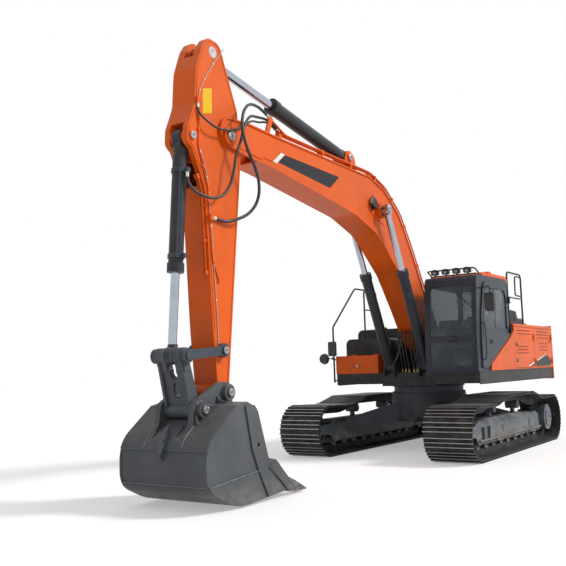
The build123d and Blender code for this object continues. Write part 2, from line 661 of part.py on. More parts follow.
def make_counterweight():
    """Cast weight with a curved back, a round upper edge and a waist above its foot."""
    front = HOUSE_REAR - SEAT
    with BuildPart() as weight:
        with BuildSketch(level(WEIGHT_BOTTOM)):
            with BuildLine():
                Polyline((TAIL_CORNER_X, UPPER_HALF - 45), (TAIL_CORNER_X + 120, UPPER_HALF - 4),
                         (front, UPPER_HALF - 4), (front, -UPPER_HALF + 4),
                         (TAIL_CORNER_X + 120, -UPPER_HALF + 4), (TAIL_CORNER_X, -UPPER_HALF + 45))
                ThreePointArc((TAIL_CORNER_X, -UPPER_HALF + 45), (TAIL_X, 0),
                    (TAIL_CORNER_X, UPPER_HALF - 45))
            make_face()
        extrude(amount=WEIGHT_TOP - WEIGHT_BOTTOM)
        rims = weight.edges().group_by(Axis.Z)[-1]
        fillet(rims.filter_by(GeomType.CIRCLE), radius=90)
        feet = weight.edges().group_by(Axis.Z)[0]
        chamfer(feet.filter_by(GeomType.CIRCLE), length=60)
        # Shallow groove across the back, and two lifting lugs on top
        with BuildSketch(level(WEIGHT_BOTTOM + 300)):
            with BuildLine():
                ThreePointArc((TAIL_CORNER_X + 10, -UPPER_HALF + 100), (TAIL_X + 18, 0),
                    (TAIL_CORNER_X + 10, UPPER_HALF - 100))
                Polyline((TAIL_CORNER_X + 10, UPPER_HALF - 100), (TAIL_X - 50, UPPER_HALF - 100),
                         (TAIL_X - 50, -UPPER_HALF + 100), (TAIL_CORNER_X + 10, -UPPER_HALF + 100))
            make_face()
        extrude(amount=26, mode=Mode.SUBTRACT)
        for y in (-WEIGHT_LUG_Y, WEIGHT_LUG_Y):
            slab(side(y=y), ((WEIGHT_LUG_X - 90, WEIGHT_TOP - 5, 0), (WEIGHT_LUG_X - 60, WEIGHT_TOP + 90, 55),
                             (WEIGHT_LUG_X + 60, WEIGHT_TOP + 90, 55),
                             (WEIGHT_LUG_X + 90, WEIGHT_TOP - 5, 0)), 22)
            disc(side(y=y), (WEIGHT_LUG_X, WEIGHT_TOP + 42), 26, 30, mode=Mode.SUBTRACT)
    weight.part.label = "counterweight"
    export_step(weight.part, "parts/counterweight.step")


def door_hinges(left, x, part):
    """Two hinges with an upright axis at x; part is 1 for the door's halves and -1 for the housing's."""
    y = left * (UPPER_HALF + HINGE_OUT)
    for z in (DOOR_Z0 + 120, DOOR_Z1 - 180):
        middle = z + part * (HINGE_HALF + SEAT / 2)
        disc(level(middle), (x, y), HINGE_RADIUS, HINGE_HALF)
        leaf_x = sorted((x + part * 4.5, x + part * HINGE_LEAF))
        leaf_y = sorted((left * UPPER_HALF, left * (UPPER_HALF + 8)))
        block(leaf_x[0], leaf_x[1], leaf_y[0], leaf_y[1], middle - HINGE_HALF, middle + HINGE_HALF)


def hood_hinges(part):
    """Two hinges at the hood's front edge; part is 1 for the hood's halves and -1 for the housing's."""
    for y in (HOOD_Y0 + 250, HOOD_Y1 - 250):
        axis = side((HOOD_X1 + HINGE_OUT, HOUSE_TOP + HINGE_OUT), y + part * (HINGE_HALF + SEAT / 2))
        disc(axis, (0, 0), HINGE_RADIUS, HINGE_HALF)
        if part > 0:
            slab(axis, ((-HINGE_OUT - 5, -2, 0), (-HINGE_OUT - 5, 10, 0), (0, 10, 0), (0, -2, 0)), HINGE_HALF)
        else:
            slab(axis, ((-5, -HINGE_OUT - 5, 0), (-5, 0, 0), (5, 0, 0), (5, -HINGE_OUT - 5, 0)), HINGE_HALF)


def lid_hinges(part):
    """Two hinges at the rear edge of the tool box's lid; part is 1 for the lid's halves."""
    for y in (-UPPER_HALF + 200, TOOL_BOX_INNER - 200):
        axis = side((TOOL_BOX_REAR, TOOL_BOX_TOP + LID_THICKNESS + HINGE_OUT),
            y + part * (HINGE_HALF + SEAT / 2))
        disc(axis, (0, 0), HINGE_RADIUS, HINGE_HALF)
        if part > 0:
            slab(axis, ((0, -HINGE_OUT - 5, 0), (0, -4, 0), (40, -4, 0), (40, -HINGE_OUT - 5, 0)), HINGE_HALF)
        else:
            rim = -HINGE_OUT - LID_THICKNESS
            slab(axis, ((-12, rim - 20, 0), (-12, 0, 0), (-1.5, 0, 0), (-1.5, rim - 2, 0), (6, rim - 2, 0),
                        (6, rim - 20, 0)), HINGE_HALF)


def make_housing():
    """Fixed covers round the engine bay: two sides, a roof and a front wall."""
    with BuildPart() as housing:
        # Left side: its front edge slants down past the cab's door
        left_wall = ((HOUSE_REAR, DECK_TOP + SEAT, 0), (HOUSE_REAR, HOUSE_TOP, 30), (-560, HOUSE_TOP, 60),
                     (-580, 2110, 30), (-400, 1990, 30), (HOUSE_NOSE, 1505, 30),
                     (HOUSE_NOSE + 25, DECK_TOP + SEAT, 0))
        slab(side(y=UPPER_HALF - HOUSE_WALL / 2), left_wall, HOUSE_WALL / 2)
        slab(side(y=-UPPER_HALF + HOUSE_WALL / 2), (
            (HOUSE_REAR, DECK_TOP + SEAT, 0), (HOUSE_REAR, HOUSE_TOP, 30), (-700, HOUSE_TOP, 30),
            (-700, DECK_TOP + SEAT, 0)), HOUSE_WALL / 2)
        # Roof and the wall behind the cab and the tanks
        block(HOUSE_REAR, -700, -UPPER_HALF + 5, UPPER_HALF - 5, HOUSE_TOP - HOUSE_WALL, HOUSE_TOP)
        block(-730, -700, -UPPER_HALF + 5, UPPER_HALF - 5, DECK_TOP + SEAT, HOUSE_TOP - 5)
        # Openings: the hood above and the service doors at the sides
        block(HOOD_X0 + 30, HOOD_X1 - 30, HOOD_Y0 + 30, HOOD_Y1 - 30, HOUSE_TOP - 60, HOUSE_TOP + 10,
            mode=Mode.SUBTRACT)
        for name, left, x0, x1 in SERVICE_DOORS:
            wall = sorted((left * (UPPER_HALF - HOUSE_WALL - 5), left * (UPPER_HALF + 5)))
            block(x0, x1, wall[0], wall[1], DOOR_Z0, DOOR_Z1, mode=Mode.SUBTRACT)
            door_hinges(left, x0 + PANEL_GAP / 2, -1)
        hood_hinges(-1)
        # Crease along the fixed part of the left wall, and the flap's outline ahead of the doors
        block(HOUSE_NOSE - 1600, -400, UPPER_HALF - 4, UPPER_HALF + 5, HOUSE_SEAM - 4, HOUSE_SEAM + 4,
            mode=Mode.SUBTRACT)
        with BuildSketch(side(y=UPPER_HALF)):
            outline(FLAP)
            outline(inset(FLAP, 7), mode=Mode.SUBTRACT)
        extrude(amount=5, both=True, mode=Mode.SUBTRACT)
        # Room for the tails of the boom brackets
        for left in (-1, 1):
            middle = left * (BRACKET_IN + BRACKET_THICKNESS / 2)
            half = BRACKET_THICKNESS / 2 + SEAT
            block(-760, -690, middle - half, middle + half, DECK_TOP, 1660, mode=Mode.SUBTRACT)
    housing.part.label = "housing"
    export_step(housing.part, "parts/housing.step")


def make_service_doors():
    for name, left, x0, x1 in SERVICE_DOORS:
        with BuildPart() as door:
            inner = sorted((left * (UPPER_HALF - HOUSE_WALL), left * UPPER_HALF))
            block(x0 + PANEL_GAP, x1 - PANEL_GAP, inner[0], inner[1], DOOR_Z0 + PANEL_GAP,
                DOOR_Z1 - PANEL_GAP)
            door_hinges(left, x0 + PANEL_GAP / 2, 1)
            for owner, rear, front, low, count in LOUVRES:
                for slot in range(count):
                    z = low + slot * LOUVRE_PITCH
                    if owner == name:
                        slab(side(y=left * UPPER_HALF), (
                            (rear, z, 10), (rear, z + LOUVRE_HEIGHT, 10), (front, z + LOUVRE_HEIGHT, 10),
                            (front, z, 10)), LOUVRE_DEPTH, mode=Mode.SUBTRACT)
            block(x0, x1, left * UPPER_HALF - 4, left * UPPER_HALF + 4, HOUSE_SEAM - 4, HOUSE_SEAM + 4,
                  mode=Mode.SUBTRACT)
        door.part.label = name
        export_step(door.part, f"parts/{name}.step")

    with BuildPart() as hood:
        with BuildSketch(level(HOUSE_TOP + SEAT, (HOOD_X0 + HOOD_X1) / 2, (HOOD_Y0 + HOOD_Y1) / 2)):
            RectangleRounded(HOOD_X1 - HOOD_X0, HOOD_Y1 - HOOD_Y0, 60)
        extrude(amount=HOOD_HEIGHT - SEAT, taper=12)
        block(HOOD_X0 + 30, HOOD_X1 - 30, HOOD_Y0 + 30, HOOD_Y1 - 30, HOUSE_TOP - 5,
            HOUSE_TOP + HOOD_HEIGHT - 12,
              mode=Mode.SUBTRACT)
        hood_hinges(1)
    hood.part.label = "hood"
    export_step(hood.part, "parts/hood.step")


def make_engine_bay():
    with BuildPart() as engine:
        block(-2500, -1600, -700, 500, DECK_TOP + SEAT, 2050)
    engine.part.label = "engine_block"
    export_step(engine.part, "parts/engine_block.step")

    with BuildPart() as radiator:
        block(-1560, -1380, 300, 1380, DECK_TOP + SEAT, 2120)
    radiator.part.label = "radiator"
    export_step(radiator.part, "parts/radiator.step")


def make_tanks():
    """Hydraulic tank and fuel tank on the right, ahead of the engine bay, and the tool box before them."""
    middle = -(UPPER_HALF - 4 + MIDDLE_HALF + 20) / 2
    half = (UPPER_HALF - 4 - MIDDLE_HALF - 20) / 2
    with BuildPart() as tanks:
        for rear, front, top in ((-690, -50, OIL_TANK_TOP), (-35, 440, FUEL_TANK_TOP)):
            with BuildSketch(cross(rear, middle)):
                with BuildLine():
                    FilletPolyline((-half, DECK_TOP + SEAT), (-half, top), (half, top),
                        (half, DECK_TOP + SEAT),
                                   radius=[0, 110, 60, 0], close=True)
                make_face()
            extrude(amount=front - rear)
        # Filler caps
        disc(level(OIL_TANK_TOP + 15), (-260, middle), 70, 25)
        disc(level(FUEL_TANK_TOP + 15), (250, middle - 150), 60, 25)
    tanks.part.label = "tanks"
    export_step(tanks.part, "parts/tanks.step")

    with BuildPart() as box:
        block(TOOL_BOX_REAR, TOOL_BOX_FRONT, -UPPER_HALF + 4, TOOL_BOX_INNER, DECK_TOP + SEAT, TOOL_BOX_TOP)
        block(TOOL_BOX_REAR + 25, TOOL_BOX_FRONT - 25, -UPPER_HALF + 30, TOOL_BOX_INNER - 25, DECK_TOP + 30,
              TOOL_BOX_TOP + 10, mode=Mode.SUBTRACT)
        # Recess of the work lamp, with the lamp in it
        block(TOOL_BOX_FRONT - 14, TOOL_BOX_FRONT + 5, -1120, -950, 1500, 1590, mode=Mode.SUBTRACT)
        disc(cross(TOOL_BOX_FRONT - 10), (-1035, 1545), 36, 12)
        lid_hinges(-1)
    box.part.label = "tool_box"
    export_step(box.part, "parts/tool_box.step")

    with BuildPart() as lid:
        block(TOOL_BOX_REAR, TOOL_BOX_FRONT, -UPPER_HALF + 4, TOOL_BOX_INNER, TOOL_BOX_TOP + SEAT,
              TOOL_BOX_TOP + LID_THICKNESS)
        lid_hinges(1)
    lid.part.label = "tool_box_lid"
    export_step(lid.part, "parts/tool_box_lid.step")


# Cab

def cab_outline(depth, foot):
    """Side outline of the cab, drawn inwards by depth, from the height foot upwards."""
    return (
        (CAB_REAR + depth, foot, 0),
        (CAB_REAR + depth, CAB_ROOF - 75 - depth, 60),
        (CAB_REAR + 90 + depth, CAB_ROOF - depth, 120),
        (CAB_FRONT - CAB_LEAN - 60 - depth, CAB_ROOF - 20 - depth, 90),
        (CAB_FRONT - CAB_LEAN - depth, CAB_ROOF - 100 - depth, 60),
        (CAB_FRONT - depth, 1900, 200),
        (CAB_FRONT - depth, foot, 0),
    )


# Openings in the cab's sides, and the door's leaf and window, with the columns x, z and radius
DOOR_OPENING = (
    (CAB_DOOR_REAR, 2010, 60), (CAB_DOOR_REAR, 2940, 240), (890, 2930, 200), (1075, 2350, 500),
    (1115, 1900, 300), (1115, 1440, 40), (860, 1440, 40))
DOOR_WINDOW = (
    (-235, 2110, 60), (-235, 2850, 190), (850, 2840, 150), (985, 2350, 400), (1005, 2110, 60))
RIGHT_WINDOW = ((-310, 1950, 60), (-310, 2860, 120), (1010, 2860, 120), (1110, 1950, 60))


def cab_hinges(part):
    """Two hinges behind the cab's door; part is 1 for the door's halves and -1 for the cab's."""
    x = CAB_DOOR_REAR + PANEL_GAP / 2
    y = CAB_DOOR_OUT + CAB_HINGE_OUT
    for z in (2120, 2660):
        middle = z + part * (HINGE_HALF + SEAT / 2)
        disc(level(middle), (x, y), CAB_HINGE_RADIUS, HINGE_HALF)
        if part > 0:
            block(x + 4.5, x + 16, CAB_DOOR_OUT - 5, y, middle - HINGE_HALF, middle + HINGE_HALF)
        else:
            block(x - 16, x - 4.5, CAB_LEFT - 5, y, middle - HINGE_HALF, middle + HINGE_HALF)


def make_cab():
    middle = (CAB_RIGHT + CAB_LEFT) / 2
    half = (CAB_LEFT - CAB_RIGHT) / 2
    screen_half = half - CAB_POST
    with BuildPart() as shell:
        slab(side(y=middle), cab_outline(0, DECK_TOP + SEAT), half)
        slab(side(y=middle), cab_outline(CAB_WALL, DECK_TOP + CAB_FLOOR), half - CAB_WALL, mode=Mode.SUBTRACT)
        # Windscreen in two panes, and the rear window
        for x, z0, z1 in ((CAB_FRONT, SCREEN_FOOT, CAB_BAR_LOW), (CAB_FRONT, CAB_BAR_HIGH, SCREEN_HEAD),
                          (CAB_REAR, REAR_WINDOW_FOOT, SCREEN_HEAD)):
            with BuildSketch(cross(x - 160, middle, (z0 + z1) / 2)):
                RectangleRounded(2 * screen_half, z1 - z0, 45)
            extrude(amount=320, mode=Mode.SUBTRACT)
        slab(side(y=CAB_RIGHT), RIGHT_WINDOW, CAB_WALL + 5, mode=Mode.SUBTRACT)
        slab(side(y=CAB_LEFT), DOOR_OPENING, CAB_WALL + 5, mode=Mode.SUBTRACT)
        cab_hinges(-1)
    shell.part.label = "cab_shell"
    export_step(shell.part, "parts/cab_shell.step")

    # The cap lies on the roof and turns down over its rear corner
    with BuildPart() as cap:
        rise = CAB_ROOF - 75
        slab(side(y=middle), (
            (CAB_REAR - 22, rise, 20), (CAB_REAR - 22, CAB_ROOF + 20, 60),
            (CAB_REAR + 90, CAB_ROOF + CAB_CAP, 60),
            (CAB_CAP_FRONT - 60, CAB_ROOF + CAB_CAP - 12, 40), (CAB_CAP_FRONT, CAB_ROOF + 5, 20),
            (CAB_CAP_FRONT, CAB_ROOF - 40, 0), (CAB_REAR + 40, rise, 0)), half - 4)
        slab(side(y=middle), cab_outline(-SEAT, DECK_TOP + SEAT), half + 10, mode=Mode.SUBTRACT)
        block(-60, 60, CAB_LEFT - 260, CAB_LEFT - 160, CAB_ROOF + 10, CAB_ROOF + 130)
    cap.part.label = "cab_roof"
    export_step(cap.part, "parts/cab_roof.step")

    # The windscreen's panes follow the front wall
    with BuildPart() as screen:
        slab(side(y=middle), cab_outline(12, DECK_TOP), screen_half - SEAT)
        slab(side(y=middle), cab_outline(12 + CAB_GLASS, DECK_TOP - 20), half, mode=Mode.SUBTRACT)
        with BuildSketch(cross(CAB_FRONT - 200, middle)):
            for z0, z1 in ((SCREEN_FOOT, CAB_BAR_LOW), (CAB_BAR_HIGH, SCREEN_HEAD)):
                with Locations((0, (z0 + z1) / 2)):
                    RectangleRounded(2 * (screen_half - SEAT), z1 - z0 - 2 * SEAT, 45 - SEAT)
        extrude(amount=300, mode=Mode.INTERSECT)
    screen.part.label = "windscreen"
    export_step(screen.part, "parts/windscreen.step")

    with BuildPart() as glass:
        with BuildSketch(cross(CAB_REAR + 20, middle, (REAR_WINDOW_FOOT + SCREEN_HEAD) / 2)):
            RectangleRounded(2 * (screen_half - SEAT), SCREEN_HEAD - REAR_WINDOW_FOOT - 2 * SEAT, 45 - SEAT)
        extrude(amount=CAB_GLASS)
        slab(side(y=CAB_RIGHT + 20), inset(RIGHT_WINDOW, SEAT), CAB_GLASS / 2)
    glass.part.label = "cab_glass"
    export_step(glass.part, "parts/cab_glass.step")

    with BuildPart() as door:
        leaf_y = CAB_DOOR_OUT - CAB_DOOR_DEPTH / 2
        slab(side(y=leaf_y), inset(DOOR_OPENING, PANEL_GAP), CAB_DOOR_DEPTH / 2)
        slab(side(y=leaf_y), DOOR_WINDOW, CAB_DOOR_DEPTH, mode=Mode.SUBTRACT)
        # Bar across the window and the handle's recess
        slab(side(y=leaf_y), ((330, 2080, 0), (330, 2880, 0), (370, 2880, 0), (370, 2080, 0)), 22)
        block(600, 760, CAB_DOOR_OUT - 20, CAB_DOOR_OUT + 5, 1860, 1920, mode=Mode.SUBTRACT)
        block(620, 740, CAB_DOOR_OUT - 25, CAB_DOOR_OUT - 4, 1880, 1898)
        cab_hinges(1)
    door.part.label = "cab_door"
    export_step(door.part, "parts/cab_door.step")

    with BuildPart() as pane:
        slab(side(y=CAB_DOOR_OUT - 16), inset(DOOR_WINDOW, SEAT), CAB_GLASS / 2)
        slab(side(y=CAB_DOOR_OUT - 16), ((329.7, 2080, 0), (329.7, 2880, 0), (370.3, 2880, 0),
            (370.3, 2080, 0)), 30,
             mode=Mode.SUBTRACT)
    pane.part.label = "door_glass"
    export_step(pane.part, "parts/door_glass.step")

    make_cab_fittings()


def make_cab_fittings():
    """Seat, consoles with their levers, travel levers and monitor, which show through the glass."""
    floor = DECK_TOP + CAB_FLOOR + SEAT
    seat_y = 1000
    with BuildPart() as seat:
        block(60, 360, seat_y - 190, seat_y + 190, floor, 1700)
        slab(side(y=seat_y), ((-60, 1690, 30), (-60, 1850, 60), (420, 1880, 60), (460, 1840, 40),
            (440, 1690, 30)), 255)
        slab(side(y=seat_y), ((-130, 1780, 40), (-210, 2380, 50), (-80, 2400, 60), (20, 1850, 40)), 235)
        slab(side(y=seat_y), ((-215, 2360, 0), (-235, 2570, 40), (-130, 2580, 40), (-100, 2360, 0)), 130)
    seat.part.label = "seat"
    export_step(seat.part, "parts/seat.step")

    with BuildPart() as controls:
        for left in (-1, 1):
            console = seat_y + left * 330
            slab(side(y=console), ((-40, floor, 0), (-40, 1960, 40), (330, 2000, 60), (480, 1950, 60),
                (480, 1880, 30),
                                   (200, 1800, 60), (180, floor, 0)), 60)
            disc(level(2060), (400, console), 14, 90)
            disc(level(2150), (400, console), 26, 55)
            # Travel levers on their pedals
            block(860, 1010, seat_y + left * 95 - 55, seat_y + left * 95 + 55, floor, floor + 45)
            disc(level(floor + 240), (900, seat_y + left * 95), 12, 240)
        # Monitor on its stalk beside the right post
        disc(level(floor + 240), (1060, 690), 20, 240)
        block(1035, 1075, 610, 790, floor + 460, floor + 640)
    controls.part.label = "cab_controls"
    export_step(controls.part, "parts/cab_controls.step")


# Lamps on the roof's front edge, with their places across the cab and their height over it
LAMP_X = 1000
LAMP_Y = (682, 878, 1074, 1270)
LAMP_RISE = 94
GUARD_Y = (572, 1428)       # ends of the guard rail before the lamps


def make_roof_fittings():
    """Work lamps over the windscreen and the guard rail round them."""
    foot = CAB_ROOF - 17
    with BuildPart() as guard:
        right, left = GUARD_Y
        tube((at(930, right, foot), at(930, right, foot + 45), at(1110, right, foot + 115),
            at(1110, left, foot + 115),
              at(930, left, foot + 45), at(930, left, foot)), 13, 30)
        # Cross bar that carries the lamps, on three feet
        tube((at(LAMP_X, right + 20, foot + 30), at(LAMP_X, left - 20, foot + 30)), 11, 0)
        for y in (right + 32, (right + left) / 2, left - 32):
            block(LAMP_X - 16, LAMP_X + 16, y - 12, y + 12, foot - 0.6, foot + 30)
    guard.part.label = "roof_guard"
    export_step(guard.part, "parts/roof_guard.step")

    with BuildPart() as lamps:
        for y in LAMP_Y:
            head = cross(LAMP_X - 20, y, foot + LAMP_RISE)
            with BuildSketch(head):
                RectangleRounded(118, 84, 26)
            extrude(amount=75, taper=-6)
            with BuildSketch(head.offset(66)):
                Circle(32)
            extrude(amount=12, mode=Mode.SUBTRACT)
            block(LAMP_X - 10, LAMP_X + 10, y - 12, y + 12, foot + 41 + SEAT, foot + LAMP_RISE - 20)
    lamps.part.label = "roof_lamps"
    export_step(lamps.part, "parts/roof_lamps.step")


def make_rails():
    """Handrails of the platform behind the cab and of the steps on the right, with the mirrors."""
    top = HOUSE_TOP + SEAT
    with BuildPart() as rails:
        # Behind the cab: two uprights with a top rail, a middle bar and a gate
        tube((at(-640, 1400, top), at(-640, 1400, 3220), at(-1470, 1400, 3220), at(-1470, 1400, top)),
            RAIL, 90)
        tube((at(-640, 1400, 2745), at(-1470, 1400, 2745)), RAIL - 3, 0)
        tube((at(-1430, 1400, 3170), at(-1110, 1400, 3170), at(-1090, 1400, 2800), at(-1430, 1400, 2800)),
            RAIL - 3, 70)
        # Over the oil tank on the right
        tank = OIL_TANK_TOP + SEAT
        tube((at(-640, RAIL_Y, tank), at(-640, RAIL_Y, 3060), at(-120, RAIL_Y, 3060),
            at(-120, RAIL_Y, tank)), RAIL, 90)
        tube((at(-640, RAIL_Y, 2660), at(-120, RAIL_Y, 2660)), RAIL - 3, 0)
        tube((at(-640, -620, tank), at(-640, -620, 3000), at(-140, -620, 3000), at(-140, -620, tank)),
            RAIL, 90)
        # From the foot of the tool box up past its corner and on to the tank's rail
        tube((at(RAIL_X, -UPPER_HALF - 26, 1240), at(RAIL_X, -UPPER_HALF - 26, 2290),
              at(RAIL_X - 620, RAIL_Y, 3060), at(-140, RAIL_Y, 3060)), RAIL, 90)
        block(RAIL_X - 14, RAIL_X + 14, -UPPER_HALF - 26, -DECK_HALF - SEAT, 1262, 1290)
        block(RAIL_X - 14, RAIL_X + 14, -UPPER_HALF - 26, -UPPER_HALF + 4 - SEAT, 1660, 1690)
    rails.part.label = "handrails"
    export_step(rails.part, "parts/handrails.step")

    with BuildPart() as mirrors:
        # Right front: an upright mirror and a round one on the rail's foot
        mirror_z = 1880
        with BuildSketch(cross(RAIL_X + 30, -UPPER_HALF - 26, mirror_z)):
            RectangleRounded(165, 280, 30)
        extrude(amount=55, taper=8)
        block(RAIL_X + RAIL + SEAT, RAIL_X + 40, -UPPER_HALF - 40, -UPPER_HALF - 12, mirror_z - 60,
            mirror_z + 60)
        round_y = -UPPER_HALF - 215
        with BuildSketch(Plane(origin=at(RAIL_X + 30, round_y, 1695), x_dir=(0, 0, 1), z_dir=(1, 0, 0))):
            Circle(103)
        extrude(amount=45, taper=15)
        block(RAIL_X + 40, RAIL_X + 56, round_y + 20, -UPPER_HALF - 30, 1687, 1703)
        block(RAIL_X + RAIL + SEAT, RAIL_X + 64, -UPPER_HALF - 42, -UPPER_HALF - 10, 1675, 1720)
    mirrors.part.label = "right_mirrors"
    export_step(mirrors.part, "parts/right_mirrors.step")

    with BuildPart() as mirror:
        # Left: a tall mirror on an arm from the cab's front post
        tube((at(1130, CAB_LEFT + SEAT, 2790), at(1130, CAB_LEFT + 70, 2790), at(1220, MIRROR_Y + 10, 2800),
              at(1220, MIRROR_Y + 10, 2690)), 11, 25)
        with BuildSketch(cross(1200, MIRROR_Y, 2540)):
            RectangleRounded(175, 320, 40)
        extrude(amount=60, taper=8)
    mirror.part.label = "left_mirror"
    export_step(mirror.part, "parts/left_mirror.step")


def make_top_fittings():
    """Louvred air intake and silencer's outlet on the engine housing."""
    with BuildPart() as intake:
        slab(side(y=1190), (
            (-1266, HOUSE_TOP + SEAT, 0), (-1266, 2330, 0), (-1160, 2500, 60), (-640, 2520, 60),
            (-640, HOUSE_TOP + SEAT, 0)), 180)
        for slot in range(6):
            z = 2300 + slot * 32
            block(-1100, -700, 1190 + 170, 1190 + 185, z, z + 14, mode=Mode.SUBTRACT)
    intake.part.label = "air_intake"
    export_step(intake.part, "parts/air_intake.step")

    with BuildPart() as outlet:
        with BuildSketch(level(HOUSE_TOP + HOOD_HEIGHT + SEAT, -1790, 560)):
            Circle(62)
        extrude(amount=150)
        with BuildSketch(level(HOUSE_TOP + HOOD_HEIGHT + 60, -1790, 560)):
            Circle(54)
        extrude(amount=120, mode=Mode.SUBTRACT)
        with BuildSketch(level(HOUSE_TOP + HOOD_HEIGHT + SEAT, -1790, 560)):
            Circle(95)
        extrude(amount=14)
    outlet.part.label = "exhaust"
    export_step(outlet.part, "parts/exhaust.step")


# Working front

# Corners of the boom's side plates, with the columns x, z and radius
BOOM_PLATE = (
    (-175, -60, 150), (-130, 200, 150), (545, 690, 200), (1365, 1235, 500), (1900, 1545, 700),
    (2520, 1680, 500), (3070, 1625, 500), (5640, 625, 400), (6200, 420, 200), (BOOM_LENGTH + 190, 185, 188),
    (BOOM_LENGTH + 190, -190, 188), (6020, 10, 500), (5494, 175, 400), (3320, 745, 900), (2560, 810, 700),
    (1600, 560, 600), (900, 190, 500), (480, -60, 300), (150, -215, 170), (-150, -190, 120))
# Route of the pipes over the boom, with the columns x, z and radius: along its top plate, then level
PIPE_RISE = 75
PIPE_LEVEL = 790
PIPE_ALONG = inset(BOOM_PLATE, -PIPE_RISE)[2:8]
PIPE_KNEE = (PIPE_ALONG[4][0] + (PIPE_ALONG[5][0] - PIPE_ALONG[4][0])
             * (PIPE_ALONG[4][1] - PIPE_LEVEL) / (PIPE_ALONG[4][1] - PIPE_ALONG[5][1]))
NOZZLE_X = 5540             # end of the inner pipes
OUTER_NOZZLE_X = 5850       # end of the outer pipe
RAM_PIPE_X = 3330           # end of the pipes to the arm cylinder
BOOM_PIPE_RUN = (*PIPE_ALONG[:5], (PIPE_KNEE, PIPE_LEVEL, 200), (NOZZLE_X, PIPE_LEVEL, 0))
# Pipes on the boom, with the columns place from the middle and end along the boom
SHORT_PIPE_Y = 138
LOWER_PIPE_Y = 174
LONG_PIPE_Y = 208
BOOM_PIPES = ((SHORT_PIPE_Y, NOZZLE_X), (LOWER_PIPE_Y, NOZZLE_X), (LONG_PIPE_Y, OUTER_NOZZLE_X),
              (-156, RAM_PIPE_X), (-194, RAM_PIPE_X))
BOOM_PIPE = 13              # radius
# Clamps over the pipes, with the columns middle, half width and places along the boom
PIPE_BUNDLES = ((173, 51, (950, 1640, 2230, 2900, 3700, 4500)), (-175, 34, (950, 1640, 2230, 2900)))


